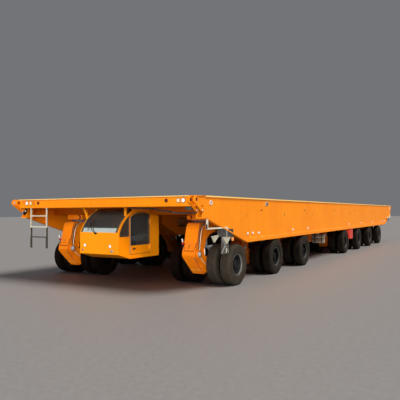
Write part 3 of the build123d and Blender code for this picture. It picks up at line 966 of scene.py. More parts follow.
@dataclass
class TwinWheel:
    """A pair of tyres on their rims and hub, along +X from the bogie's centre line."""

    radius: float = 0.56
    half_width: float = 0.1575
    inner_middle: float = 0.385
    pitch: float = 0.425
    rim_radius: float = 0.280
    steps: int = 96
    groove_depth: float = 0.013
    zigzag: float = 0.005
    grooves: tuple[float, ...] = (-0.066, 0.0, 0.066)
    groove_half: float = 0.008
    crown_drop: float = 0.0055
    crown_half: float = 0.118
    notch: float = 0.007
    rim_steps: int = 64
    hub_steps: int = 48
    wheel_bolts: int = 10
    bolt_circle: float = 0.168
    steer_x: float = 2.34

    def tread(self) -> list[tuple[float, float, float]]:
        """The tyre's section from bead to bead.

        Returns:
            Its points as offset, radius and share of the zigzag.
        """
        half, top = self.half_width, self.radius
        wall = [(-0.108, 0.288, 0), (-0.120, 0.296, 0), (-0.129, 0.312, 0), (-half + 0.004, 0.350, 0),
                (-half, 0.365, 0), (-half + 0.0015, 0.372, 0), (-half + 0.0005, 0.43, 0), (-half, 0.47, 0),
                (-half + 0.004, 0.505, 0), (-0.140, 0.530, 0), (-0.131, 0.547, 0), (-0.118, 0.5550, 0)]
        crown = []
        for middle in self.grooves:
            drop = self.crown_drop * (middle / self.crown_half) ** 2
            for side, depth in ((-1, 0), (-0.6, 1), (0.6, 1), (1, 0)):
                crown.append((middle + side * self.groove_half, top - drop - depth * self.groove_depth, 1))
        mirrored = [(-x, r, z) for x, r, z in reversed(wall)]
        return wall + crown + mirrored

    def add_tyre(self, form: Form, middle: float) -> None:
        """Add one tyre with zigzag grooves and notched shoulders.

        Args:
            form: The piece to add to.
            middle: The tyre's middle along the axle.
        """
        section = self.tread()
        corners = []
        for step in range(self.steps):
            angle = 2 * math.pi * step / self.steps
            swing = self.zigzag * (1 if step // 2 % 2 else -1)
            for offset, radius, share in section:
                shoulder = 0.125 < abs(offset) < 0.137 and radius > 0.5
                x = middle + offset + swing * share
                r = radius - (self.notch if shoulder and step % 4 == 1 else 0.0)
                corners.append((x, r * math.sin(angle), -r * math.cos(angle)))
        count = len(section)
        loops = []
        for step in range(self.steps):
            after = (step + 1) % self.steps
            for i in range(count - 1):
                loops.append((step * count + i, step * count + i + 1, after * count + i + 1,
                              after * count + i))
        form.faces(corners, loops, TYRE_RUBBER)

    def add_rim(self, form: Form, middle: float, facing: int) -> None:
        """Add a rim with its dished disc and flange.

        Args:
            form: The piece to add to.
            middle: The tyre's middle along the axle.
            facing: 1 where the open side looks out along +X, else -1.
        """
        r = self.rim_radius
        lip = [(0.112, r + 0.012), (0.119, r + 0.016), (0.123, r + 0.010), (0.117, r), (0.085, r - 0.004)]
        barrel = [(0.085, r - 0.004), (0.05, r - 0.020), (-0.02, r - 0.024), (-0.035, r - 0.034)]
        back = [(-0.095, r), (-0.116, r + 0.006), (-0.120, r + 0.016), (-0.112, r + 0.014)]
        origin = (middle, 0, 0)
        along = (facing, 0, 0)
        form.turned(lip, origin, along, self.rim_steps, RIM_GREY)
        # Barrel and back of the rim in near-black: painted shade of the rim's hollow
        form.turned(barrel, origin, along, self.rim_steps, DARK_METAL_AND_PAINTED_SHADE)
        form.turned([(-0.035, r - 0.034), *back], origin, along, self.rim_steps, DARK_METAL_AND_PAINTED_SHADE)

    def build_mesh(self) -> bpy.types.Object:
        """Build the whole twin once, at the origin.

        Returns:
            The piece that all twins are copied from.
        """
        form = Form()
        outer = self.inner_middle + self.pitch
        for middle, facing in ((self.inner_middle, -1), (outer, 1)):
            self.add_tyre(form, middle)
            self.add_rim(form, middle, facing)
        # Disc and hub near-black: dark metal, darkened further as painted shade of the deep dish
        disc = outer + self.half_width - 0.19
        form.turned([(disc - 0.02, 0.262), (disc + 0.012, 0.225), (disc + 0.012, 0.15), (disc + 0.03, 0.13),
                     (disc + 0.10, 0.118), (disc + 0.115, 0.10), (disc + 0.118, ON_AXIS)],
                    (0, 0, 0), (1, 0, 0), self.hub_steps, DARK_METAL_AND_PAINTED_SHADE)
        for z, y in circle(self.wheel_bolts, self.bolt_circle, 0.5):
            form.rod((disc + 0.01, y, z), (disc + 0.040, y, z), 0.014, CHASSIS_GREY, steps=6)
        inner_in = self.inner_middle - self.half_width
        form.turned([(inner_in - 0.02, 0.08), (inner_in - 0.02, 0.205), (inner_in + 0.03, 0.215),
                     (inner_in + 0.06, 0.255)], (0, 0, 0), (1, 0, 0), self.hub_steps, DARK_METAL_AND_PAINTED_SHADE)
        # Spacer between the tyres in near-black: painted shade of the gap
        form.turned([(self.inner_middle, 0.245), (outer, 0.245)], (0, 0, 0), (1, 0, 0), 32, DARK_METAL_AND_PAINTED_SHADE)
        return form.piece("twin")

    def build(self) -> None:
        """Set a twin in place of each CAD one."""
        master = self.build_mesh()
        chance = random.Random(7)
        for name in sorted(n for n in frame["nodes"] if n.startswith("twin_")):
            low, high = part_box(name)
            middle = (low + high) / 2
            _, side, _, place = name.split("_")
            outward = (1 if side == "right" else -1) * (1 if place == "outer" else -1)
            turn = 0.0 if outward > 0 else math.pi
            bogie_x = math.copysign(self.steer_x, middle.x)
            spin = Matrix.Rotation(math.radians(90 * chance.randrange(4)), 4, "X")
            turned = Matrix.Translation((bogie_x, middle.y, self.radius)) @ Matrix.Rotation(turn, 4, "Z")
            wheel = stand(name.replace("twin", "wheels"), master.data, turned @ spin)
            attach(wheel, name)
            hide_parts(name)
        bpy.data.objects.remove(master)
        log.info("twin wheels set")


@dataclass
class Bogies:
    """The slewing bogies: arm, rocker, ram, and what is bolted to them.

    Lengths are forward of the steering axis where negative, heights from the ground.
    """

    front: tuple[Flat, ...] = ((-0.668, 1.220), (-0.690, 1.165), (-0.750, 1.015), (-0.815, 0.850),
                               (-0.745, 0.735), (-0.290, 0.315))
    arm_half: float = 0.20
    tongue_half: float = 0.17
    knee: Flat = (-0.60, 0.88)
    boss_out: float = 0.225
    ram_y: float = 0.06
    seam_zs: tuple[float, ...] = (0.965, 0.43)
    axle: Flat = (0.25, 0.56)
    throat_middle: Flat = (0.25, 0.885)
    throat_radius: float = 0.555
    arm_back: float = 0.30
    arm_root: float = 1.44
    arm_top: float = 1.71
    arm: tuple[Flat, ...] = ((-0.455, 1.710), (-0.520, 1.680), (-0.562, 1.610), (-0.600, 1.490),
                             (-0.668, 1.220), (-0.690, 1.165), (-0.632, 1.182), (-0.455, 1.090),
                             (-0.305, 0.985))
    rocker: tuple[Flat, ...] = ((-0.690, 1.165), (-0.750, 1.015), (-0.815, 0.850), (-0.745, 0.735),
                                (-0.290, 0.315), (0.210, 0.400), (0.400, 0.500), (0.400, 0.620),
                                (0.300, 0.710), (-0.100, 0.760), (-0.305, 0.885), (-0.300, 1.020),
                                (-0.640, 1.205))
    cheek: tuple[Flat, ...] = ((-0.640, 1.150), (-0.768, 0.990), (-0.798, 0.830), (-0.730, 0.750),
                               (-0.560, 0.640), (-0.300, 0.360), (0.210, 0.430), (0.370, 0.520),
                               (0.370, 0.600), (0.280, 0.680), (-0.100, 0.735), (-0.330, 0.870),
                               (-0.470, 1.060))

    number_out: float = 0.2045
    cheek_bolts: tuple[Flat, ...] = ((0.02, 0.50), (0.02, 0.64), (-0.08, 0.44), (-0.30, 0.62), (-0.42, 0.56),
                                     (-0.42, 0.88))

    def front_y(self, z: float) -> float:
        """How far forward the front plate is at a height.

        Args:
            z: The height.

        Returns:
            The plate's Y there.
        """
        for (y0, z0), (y1, z1) in zip(self.front, self.front[1:]):
            if z1 <= z <= z0:
                return y0 + (y1 - y0) * (z0 - z) / (z0 - z1)
        raise ValueError(z)

    def strip(self, form: Form, high: float, low: float, left: float, right: float, proud: float,
              finish: Finish) -> None:
        """Add a thin strip that lies on the front plate.

        Args:
            form: The piece to add to.
            high: Height of its top.
            low: Height of its foot.
            left: Its left edge.
            right: Its right edge.
            proud: Its thickness.
            finish: What it is made of.
        """
        top = Vector((self.front_y(high), high))
        foot = Vector((self.front_y(low), low))
        run = (foot - top).normalized()
        out = Vector((run.y, -run.x))
        if out.x > 0:
            out = -out
        outline = [top - out * 0.002, top + out * proud, foot + out * proud, foot - out * 0.002]
        form.prism([tuple(p) for p in outline], Across.X, left, right, finish)

    def body(self) -> bpy.types.Object:
        """The gooseneck arm, the rocker between its cheeks, the slewing pin and the axle, as one piece.

        Returns:
            The new object.
        """
        form = Form()
        middle_y, middle_z = self.throat_middle
        angles = [math.pi / 2 * i / 14 for i in range(15)]
        throat = [(middle_y - self.throat_radius * math.cos(a), middle_z + self.throat_radius * math.sin(a))
                  for a in angles]
        half, tongue = self.arm_half, self.tongue_half
        arm = [*throat, (self.arm_back, self.arm_root), (self.arm_back, self.arm_top), *self.arm]
        form.prism(arm, Across.X, -half, half, ARM_PAINT)
        form.prism(self.rocker, Across.X, -tongue, tongue, ARM_PAINT)
        knee_y, knee_z = self.knee
        axle_y, axle_z = self.axle
        for side in (-1, 1):
            form.prism(rounded(self.cheek, 0.03), Across.X, side * tongue, side * half, ARM_PAINT)
            form.rod((side * (half - 0.01), knee_y, knee_z), (side * self.boss_out, knee_y, knee_z), 0.110,
                     ARM_PAINT, steps=44, chamfer=0.06)
            form.rod((side * (half - 0.01), axle_y, axle_z), (side * (half + 0.03), axle_y, axle_z), 0.130,
                     ARM_PAINT, steps=44, chamfer=0.06)
            form.rod((side * half, axle_y, axle_z), (side * 0.80, axle_y, axle_z), 0.040, DARK_METAL_AND_PAINTED_SHADE, steps=20)
        form.turned([(0, ON_AXIS), (0, 0.29), (0.062, 0.29), (0.062, ON_AXIS)], (0, 0, self.arm_top),
                    (0, 0, 1), 56, DARK_METAL_AND_PAINTED_SHADE)
        form.rod((0, 0, 1.335), (0, 0, self.arm_root), 0.045, DARK_METAL_AND_PAINTED_SHADE, steps=24)
        # Ribs of the throat plate
        for x in (-half + 0.02, half - 0.02):
            ribs = [(y + 0.004, z - 0.004) for y, z in throat]
            inner = [(middle_y - 0.535 * math.cos(a), middle_z + 0.535 * math.sin(a))
                     for a in reversed(angles)]
            form.prism(ribs + inner, Across.X, x - 0.006, x + 0.006, ARM_PAINT)
        return form.piece("bogie_frame")

    def plates(self) -> bpy.types.Object:
        """Seams, pins, bolts and the bearing ring, as one piece about the steering axis.

        Returns:
            The new object.
        """
        form = Form()
        half = self.tongue_half
        # Upper seam a dark joint; the lower one a painted highlight along the weld
        for z, paint in zip(self.seam_zs, (SEAM_PAINT, PAINTED_HIGHLIGHT_ORANGE)):
            self.strip(form, z + 0.009, z - 0.009, -half + 0.004, half - 0.004, 0.0025, paint)
        for x in (-half + 0.008, half - 0.018):
            self.strip(form, 1.06, 0.965, x, x + 0.010, 0.0025, SEAM_PAINT)
        form.turned([(1.716, 0.24), (1.716, 0.298), (1.722, 0.303), (1.768, 0.303), (1.7745, 0.298),
                     (1.7745, 0.24)], (0, 0, 0), (0, 0, 1), 64, CHASSIS_GREY)
        for x, y in circle(24, 0.27):
            if abs(x) > self.arm_half + 0.015:
                form.rod((x, y, 1.69), (x, y, 1.716), 0.014, GREY_PAINT, steps=6)
        knee_y, knee_z = self.knee
        for side in (-1, 1):
            face = side * self.boss_out
            form.turned([(-0.05, 0.111), (0.002, 0.111), (0.004, 0.106), (0.004, 0.06)],
                        (face, knee_y, knee_z), (side, 0, 0), 40, ARM_PAINT)
            form.turned([(0.003, 0.085), (0.010, 0.083), (0.010, 0.05)], (face, knee_y, knee_z), (side, 0, 0),
                        32, GREY_PAINT)
            # White end of the knee pin: painted highlight in place of its plated end's shine
            form.rod((face, knee_y, knee_z), (face + side * 0.018, knee_y, knee_z), 0.052, WHITE_PAINT,
                     steps=28)
            for out, rise in circle(6, 0.07, 0.5):
                y, z = knee_y + out, knee_z + rise
                form.rod((face + side * 0.008, y, z), (face + side * 0.016, y, z), 0.008, CHASSIS_GREY,
                         steps=6)
            # Cheek plate bolts round the axle and the toe
            start = side * self.arm_half
            for y, z in self.cheek_bolts:
                form.rod((start, y, z), (start + side * 0.012, y, z), 0.013, ARM_PAINT, steps=6)
            # Access plate on the side of the gooseneck
            outline = rounded([(-0.54, 1.30), (-0.40, 1.24), (-0.36, 1.42), (-0.48, 1.47)], 0.03)
            form.prism(outline, Across.X, start, start + side * 0.004, ARM_PAINT)
        # Red bracket with the hose coupling's white cap
        form.box((-0.232, -0.735, 1.13), (-0.198, -0.63, 1.165), RED_PAINT)
        form.box((-0.232, -0.745, 1.13), (-0.198, -0.725, 1.20), RED_PAINT)
        form.rod((-0.215, -0.735, 1.19), (-0.215, -0.765, 1.285), 0.021, WHITE_PAINT, steps=14, chamfer=0.4)
        # Brake cylinders behind the axle
        for x in (-0.115, 0.115):
            form.turned([(0, ON_AXIS), (0, 0.05), (0.02, 0.068), (0.06, 0.068), (0.068, 0.074),
                         (0.076, 0.068), (0.12, 0.068), (0.14, 0.05), (0.145, ON_AXIS)], (x, 0.36, 0.66),
                        (0, 1, 0), 28, CHASSIS_GREY)
        return form.piece("bogie_trim")

    def ram(self) -> bpy.types.Object:
        """The suspension ram's round barrel, gland and plated rod.

        Returns:
            The new object.
        """
        form = Form()
        form.turned([(1.0, 0.04), (1.0, 0.07), (1.01, 0.079), (1.38, 0.079), (1.395, 0.07)],
                    (0, self.ram_y, 0), (0, 0, 1), 32, GREY_PAINT)
        form.turned([(0.985, 0.05), (0.985, 0.065), (1.0, 0.065)], (0, self.ram_y, 0), (0, 0, 1), 28,
                    DARK_METAL_AND_PAINTED_SHADE)
        form.turned([(0.745, 0.047), (0.99, 0.047)], (0, self.ram_y, 0), (0, 0, 1), 28, CHROME)
        return form.piece("suspension_ram")

    def hoses(self) -> list[bpy.types.Object]:
        """Hoses clipped down both sides of the arm and over its front, and dark lines of painted shade where
        its plates meet.

        Returns:
            The bundles.
        """
        thick = Pipes("arm_hoses", 0.011, HOSE_RUBBER)
        thin = Pipes("arm_pipes", 0.008, CREAM_PAINT)
        for side in (-1, 1):
            x = side * (self.arm_half + 0.013)
            thick.run((x, -0.28, 1.700), (x, -0.42, 1.640), (x, -0.515, 1.540), (x, -0.555, 1.400),
                      (x, -0.575, 1.230), (x, -0.590, 1.080), (x, -0.600, 0.985))
            thin.run((x, -0.20, 1.700), (x, -0.36, 1.640), (x, -0.455, 1.540), (x, -0.50, 1.380),
                     (x, -0.535, 1.210), (x, -0.555, 1.080), (x, -0.565, 0.985))
            low = side * (self.arm_half + 0.010)
            thin.run((low, -0.54, 0.80), (low, -0.43, 0.70), (low, -0.20, 0.55), (low, -0.02, 0.50))
        thick.run((-0.215, -0.742, 1.20), (-0.225, -0.71, 1.12), (-0.225, -0.70, 1.02), (-0.215, -0.68, 0.93),
                  (-0.212, -0.63, 0.86))
        # Dark lines of painted shade in the gap between the front plate and the cheeks, and along the arm's
        # front edge
        joint = Pipes("plate_joint", 0.006, DARK_SEAL)
        for side in (-1, 1):
            x = side * (self.tongue_half + 0.005)
            joint.run((x, -0.672, 1.16), (x, -0.73, 1.02), (x, -0.792, 0.86), (x, -0.775, 0.80),
                      (x, -0.735, 0.735), (x, -0.60, 0.61), (x, -0.45, 0.468), (x, -0.30, 0.332))
            x = side * (self.arm_half + 0.003)
            joint.run((x, -0.44, 1.705), (x, -0.505, 1.68), (x, -0.545, 1.61), (x, -0.575, 1.49),
                      (x, -0.61, 1.35), (x, -0.645, 1.22), (x, -0.668, 1.165))
        return [thick.piece(), thin.piece(), joint.piece()]

    def build(self) -> None:
        """Set every bogie on its body, with its own numbers."""
        frame_piece = self.body()
        masters = [frame_piece, self.plates(), self.ram(), *self.hoses()]
        plate_y = self.front_y(1.07)
        for joint in steering_joints():
            _, side, line = joint["name"].split("_")
            body = f"bogie_{side}_{line}"
            x, y, _ = joint["pos_m"]
            for master in masters:
                copy = stand(f"{master.data.name}_{side}_{line}", master.data, Matrix.Translation((x, y, 0)))
                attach(copy, body)
                if master is frame_piece:
                    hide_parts(body)
            number = str(2 * int(line) - (1 if side == "left" else 0))
            marks = [numeral(f"number_front_{side}_{line}", number, 0.085,
                             (x - 0.02, y + plate_y - 0.0045, 1.07), (1, 0, 0), (0, 0.06, 0.165),
                             MARK_PAINT)]
            for face, out in (("right", 1), ("left", -1)):
                marks.append(numeral(f"number_{face}_{side}_{line}", number, 0.10,
                                     (x + out * self.number_out, y - 0.40, 1.36), (0, out, 0), (0, 0, 1),
                                     MARK_PAINT))
            for mark in marks:
                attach(mark, body)
        for master in masters:
            bpy.data.objects.remove(master)
        log.info("bogies: 14")


@dataclass
class SteeringGear:
    """The mounting box over each bogie and the rack tube beside it."""

    box_half: float = 0.32
    foot: float = 1.7755
    top: float = 1.931
    ribs: float = 0.2
    bolt_z: float = 1.80
    tube_in: float = 0.24
    tube_z: float = 1.85
    tube_radius: float = 0.06
    tube_ends: tuple[float, float] = (-0.40, 0.62)

    def mount(self, form: Form, x: float, y: float) -> None:
        """Add a ribbed and bolted mounting box.

        Args:
            form: The piece to add to.
            x: X of the steering axis.
            y: Y of the steering axis.
        """
        reach = self.box_half
        outline = rounded(rect((x - reach, y - reach), (x + reach, y + reach)), 0.05)
        form.prism(outline, Across.Z, self.foot, self.top, ARM_PAINT)
        for turn in (-1, 1):
            rib = y + turn * self.ribs
            form.box((x - reach - 0.006, rib - 0.006, self.foot), (x + reach + 0.006, rib + 0.006, self.top),
                     ARM_PAINT)
            for i in range(5):
                bolt = x - 0.24 + 0.12 * i
                form.rod((bolt, y + turn * reach, self.bolt_z),
                         (bolt, y + turn * (reach + 0.012), self.bolt_z), 0.011, GREY_PAINT, steps=6)

    def tube(self, form: Form, x: float, y: float) -> None:
        """Add a rack tube with a dark ring near each end.

        Args:
            form: The piece to add to.
            x: X of the tube.
            y: Y of the steering axis.
        """
        z = self.tube_z
        start, end = (y + d for d in self.tube_ends)
        form.rod((x, start, z), (x, end, z), self.tube_radius, ARM_PAINT, steps=36, chamfer=0.1)
        for spot in (start + 0.03, end - 0.05):
            form.rod((x, spot, z), (x, spot + 0.025, z), self.tube_radius + 0.010, DARK_METAL_AND_PAINTED_SHADE, steps=36,
                     chamfer=0.05)

    def build(self) -> None:
        """Build the gear of all bogies as one piece."""
        form = Form()
        for joint in steering_joints():
            x, y, _ = joint["pos_m"]
            self.mount(form, x, y)
            self.tube(form, x - math.copysign(self.tube_in, x), y)
        made = form.piece("steering_gears")
        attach(made, "chassis")
        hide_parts("steering_gear")
        log.info("steering gear: boxes and tubes")


@dataclass
class Lugs:
    """The coupling lugs: two plates about each eye, their lower arm and notch, the filler between them."""

    eye_z: float = 2.30
    eye_r: float = 0.10
    bore_r: float = 0.030
    plates: tuple[tuple[float, float, float], ...] = ((3.24, 3.27, 0.40), (3.08, 3.11, 0.56))
    edge: tuple[Flat, ...] = ((-0.0465, 2.2115), (0.205, 2.042), (0.270, 2.008), (0.312, 2.022),
                              (0.302, 2.112), (0.170, 2.160), (0.345, 2.160), (0.350, 2.010), (0.285, 1.922),
                              (0.275, 1.842))
    seat_r: float = 0.06
    foot_eye: Flat = (0.276, 2.043)
    # Filler, foot plate and a dark sheet of painted shade between the plates, each by its X, station and
    # height
    blocks: tuple = (((3.11, 3.24), (0.15, 0.40), (2.14, 2.3795), FRAME_PAINT),
                     ((3.09, 3.31), (0.275, 0.405), (1.8405, 1.869), FRAME_PAINT),
                     ((3.232, 3.238), (0.30, 0.42), (1.93, 2.1395), PAINTED_SHADE_DARK))

    def plate(self, form: Form, end: End, side: Side, low: float, high: float, root: float) -> None:
        """Add one plate with a round seat left open about its eye.

        Args:
            form: The piece to add to.
            end: Which end.
            side: Which side.
            low: Distance of its inner face from the middle.
            high: Distance of its outer face from the middle.
            root: Station where it ends.
        """
        turns = [math.radians(242 + 208 * i / 16) for i in range(17)]
        seat = [(self.seat_r * math.cos(a), self.eye_z + self.seat_r * math.sin(a)) for a in turns]
        outline = [(0.0, 2.3995), (0.002, 2.3795), (root, 2.3795), (root, 1.842), *reversed(self.edge),
                   *seat]
        form.prism([(end.y(s), z) for s, z in outline], Across.X, side.value * low, side.value * high,
                   FRAME_PAINT)
        ring = [(-0.002, self.bore_r), (-0.002, self.eye_r - 0.001), (high - low + 0.002, self.eye_r - 0.001),
                (high - low + 0.002, self.bore_r)]
        form.turned(ring, (side.value * low, end.y(0), self.eye_z), (side.value, 0, 0), 56, FRAME_PAINT,
                    closed=True)

    def build(self) -> None:
        """Build all four lugs as one piece."""
        form = Form()
        for end in End:
            for side in Side:
                for low, high, root in self.plates:
                    self.plate(form, end, side, low, high, root)
                    white = side is Side.LEFT and high > 3.2
                    bush = [(-0.004, self.bore_r), (-0.004, 0.046), (high - low + 0.004, 0.046),
                            (high - low + 0.004, self.bore_r)]
                    form.turned(bush, (side.value * low, end.y(0), self.eye_z), (side.value, 0, 0), 32,
                                WHITE_PAINT if white else SEAM_PAINT, closed=True)
                    form.turned([(0, ON_AXIS), (0, 0.020), (high - low + 0.010, 0.022),
                                 (high - low + 0.014, 0.018), (high - low + 0.014, ON_AXIS)],
                                (side.value * (low - 0.004), end.y(self.foot_eye[0]), self.foot_eye[1]),
                                (side.value, 0, 0), 24, WHITE_PAINT)
                for (x0, x1), (near, far), (foot, top), finish in self.blocks:
                    form.box((side.value * x0, end.y(near), foot), (side.value * x1, end.y(far), top),
                             finish)
        made = form.piece("lugs")
        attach(made, "chassis")
        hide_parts("coupling_lugs")
        log.info("coupling lugs: 4")


@dataclass
class CabTrim:
    """Seals, wiper, lamps, handle and the driver's place."""

    half: float = 0.70
    arc_station: float = 1.2191
    arc_height: float = 1.0062
    arc_radius: float = 1.1115
    roof: float = 2.110
    quarter: tuple[float, float, float, float] = (0.255, 0.635, 1.335, 0.055)
    quarter_glass: tuple[float, float, float, float] = (0.270, 0.630, 1.390, 0.075)
    pane: tuple[float, float, float, float] = (0.718, 1.552, 1.080, 0.113)
    pane_glass: tuple[float, float, float, float] = (0.740, 1.530, 1.080, 0.135)
    door_seam: tuple[float, float, float, float] = (0.685, 1.585, 0.835, 0.080)
    nose: float = 0.2
    # Each nose lamp's X, height, radius and lens
    nose_lamps: tuple = ((-0.51, 1.09, 0.036, WHITE_LENS), (0.41, 1.08, 0.036, WHITE_LENS),
                         (-0.59, 0.96, 0.028, RED_LENS), (0.47, 0.95, 0.034, GREY_PAINT))
    roof_bars: tuple = (((-0.98, 2.142), (-0.90, 2.142), (-0.80, 1.99), (-0.76, 1.86), (-0.698, 1.86),
                         (-0.698, 1.79), (-0.80, 1.79), (-0.86, 1.97)),
                        ((0.60, 2.142), (0.68, 2.142), (0.66, 2.02), (0.66, 1.87), (0.60, 1.87)))
    floor: float = 0.760

    def height(self, station: float, inset: float) -> float:
        """Height of the cab's outline at a station, moved in by an inset.

        Args:
            station: The station.
            inset: How far inside the outline.

        Returns:
            The height.
        """
        reach = self.arc_radius - inset
        rise = math.sqrt(max(reach ** 2 - (station - self.arc_station) ** 2, 0.0))
        return min(self.arc_height + rise, self.roof - inset)

    def opening(self, window: tuple[float, float, float, float], margin: float, radius: float) -> list[Flat]:
        """A side window's outline with rounded corners, as Y and Z.

        Args:
            window: Its front and back station, its foot and its inset from the outline.
            margin: How far inside the opening.
            radius: Rounding of the corners.

        Returns:
            The outline's points.
        """
        front, back, foot, inset = window
        front, back, foot, inset = front + margin, back - margin, foot + margin, inset + margin
        stations = [back - (back - front) * i / 10 for i in range(11)]
        top = [(at(s), self.height(s, inset)) for s in stations]
        return rounded([(at(front), foot), (at(back), foot), *top], radius)

    def frame_window(self, form: Form, window: tuple[float, float, float, float],
                     glass: tuple[float, float, float, float], side: int, radius: float) -> None:
        """Add a window's rubber surround with rounded corners, from its outer edge in to the glass.

        Args:
            form: The piece to add to.
            window: Sizes of the surround's outer edge.
            glass: Sizes of the glass.
            side: 1 on the right, -1 on the left.
            radius: Rounding of its corners.
        """
        face = side * self.half
        form.band(self.opening(window, -0.002, radius), self.opening(glass, 0.006, radius), Across.X,
                  face - side * 0.012, face + side * 0.004, DARK_SEAL)

    def over_arc(self, form: Form, start: float, end: float, left: float, right: float, out: float,
                 thick: float, finish: Finish) -> None:
        """Add a strip that lies on the cab's curved front.

        Args:
            form: The piece to add to.
            start: Station of its lower end.
            end: Station of its upper end.
            left: Its left edge.
            right: Its right edge.
            out: How far its outside stands off the outline.
            thick: Its thickness.
            finish: What it is made of.
        """
        stations = [start + (end - start) * i / 16 for i in range(17)]
        outer = [(at(s), self.height(s, -out)) for s in stations]
        inner = [(at(s) + 0.001, self.height(s, thick - out)) for s in reversed(stations)]
        form.prism(outer + inner, Across.X, left, right, finish)

    def outside(self) -> None:
        """Window surrounds, windscreen edging, wiper, nose lamps, brackets and seams."""
        body = Form()
        for side in (1, -1):
            self.frame_window(body, self.quarter, self.quarter_glass, side, 0.02)
        self.frame_window(body, self.pane, self.pane_glass, -1, 0.03)
        # Windscreen: rubber edging, the pale cowl strip at its foot, a sun band above
        for side in (1, -1):
            self.over_arc(body, 0.203, 1.18, side * 0.600, side * 0.662, 0.003, 0.010, DARK_SEAL)
        self.over_arc(body, 0.2015, 0.258, -0.600, 0.600, 0.004, 0.012, SLATE_PAINT)
        self.over_arc(body, 1.15, 1.19, -0.655, 0.655, 0.003, 0.010, DARK_SEAL)
        # Wiper: motor cap, arm and blade
        y, z = at(self.nose), 1.425
        body.rod((-0.11, y, z), (-0.11, y - 0.03, z), 0.028, DARK_METAL_AND_PAINTED_SHADE, steps=18)
        body.box((-0.16, y - 0.012, z - 0.02), (-0.06, y, z + 0.012), DARK_METAL_AND_PAINTED_SHADE)
        # Nose lamps: white above, a red and a grey one below, each in its bezel
        for x, height, radius, lens in self.nose_lamps:
            body.turned([(0, 0.5 * radius), (0, radius * 1.25), (0.008, radius * 1.22),
                         (0.012, radius * 1.02)], (x, y, height), (0, -1, 0), 28, GREY_PAINT)
            body.turned([(0.008, radius * 1.04), (0.013, radius * 0.7), (0.015, ON_AXIS)], (x, y, height),
                        (0, -1, 0), 28, lens)
        # Bolts of the nose plate
        for x in (-0.62, 0.62):
            for height in (0.91, 1.38):
                body.rod((x, y, height), (x, y - 0.007, height), 0.010, CAB_PAINT, steps=6)
        # Foot rail along the floor's edge on both sides
        for side in (1, -1):
            face = side * self.half
            body.prism(rect((at(0.69), 0.722), (at(2.02), 0.752)), Across.X, face, face + side * 0.006,
                       CAB_PAINT)
            # Gutter over the door, short enough for it to swing
            stations = [0.5 + 1.02 * i / 14 for i in range(15)]
            lower = [(at(s), self.height(s, 0.035)) for s in stations]
            upper = [(at(s), self.height(s, 0.020)) for s in reversed(stations)]
            body.prism(lower + upper, Across.X, face, face + side * 0.014, CAB_PAINT)
        # Bars that carry the cab's roof from the end beam, bent on the left
        low, high = at(0.555), at(0.600)
        for bar in self.roof_bars:
            body.prism(bar, Across.Y, low, high, CAB_PAINT)
        body.box((0.56, low - 0.02, 2.118), (0.72, high + 0.02, 2.142), CAB_PAINT)
        body.box((-1.02, low - 0.02, 2.118), (-0.86, high + 0.02, 2.142), CAB_PAINT)
        made = body.piece("cab_trim")
        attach(made, "chassis")
        arm = Pipes("wiper_arm", 0.007, DARK_METAL_AND_PAINTED_SHADE)
        arm.run((-0.11, at(0.17), 1.43), (-0.24, at(0.17), 1.50), (-0.35, at(0.24), 1.64),
                (-0.41, at(0.33), 1.74))
        arm.run((-0.11, at(0.17), 1.43), (-0.20, at(0.19), 1.53), (-0.30, at(0.30), 1.71),
                (-0.34, at(0.42), 1.83))
        blade = Pipes("wiper_blade", 0.009, HOSE_RUBBER)
        blade.run((-0.40, at(0.195), 1.50), (-0.41, at(0.24), 1.63), (-0.43, at(0.345), 1.76),
                  (-0.44, at(0.44), 1.84))
        for bundle in (arm, blade):
            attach(bundle.piece(), "chassis")

    def door(self) -> None:
        """The door's surround, seam, handle, painted highlight strip on its front edge, and grab rail."""
        form = Form()
        self.frame_window(form, self.pane, self.pane_glass, 1, 0.03)
        face = self.half
        form.band(self.opening(self.door_seam, -0.004, 0.01), self.opening(self.door_seam, 0.008, 0.01),
                  Across.X, face, face + 0.003, DARK_SEAL)
        form.box((face, at(0.775), 0.965), (face + 0.008, at(0.905), 1.015), DARK_SEAL)
        form.rod((face + 0.030, at(0.785), 0.99), (face + 0.030, at(0.895), 0.99), 0.010, DARK_METAL_AND_PAINTED_SHADE, steps=12)
        for station in (0.795, 0.885):
            form.rod((face, at(station), 0.99), (face + 0.030, at(station), 0.99), 0.008, DARK_METAL_AND_PAINTED_SHADE, steps=10)
        form.rod((face, at(0.84), 0.93), (face + 0.006, at(0.84), 0.93), 0.014, CHROME, steps=18)
        # Pale strip on the door's front edge: painted highlight
        form.box((face, at(0.690), 0.87), (face + 0.005, at(0.702), self.height(0.690, 0.095)), CHOCK_PAINT)
        # Grab rail on the door's inner edge
        form.rod((face - 0.09, at(0.80), 1.10), (face - 0.09, at(1.30), 1.10), 0.012, DARK_METAL_AND_PAINTED_SHADE, steps=12)
        for station in (0.84, 1.26):
            form.rod((face - 0.04, at(station), 1.10), (face - 0.09, at(station), 1.10), 0.010, DARK_METAL_AND_PAINTED_SHADE,
                     steps=10)
        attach(form.piece("door_trim"), "door")

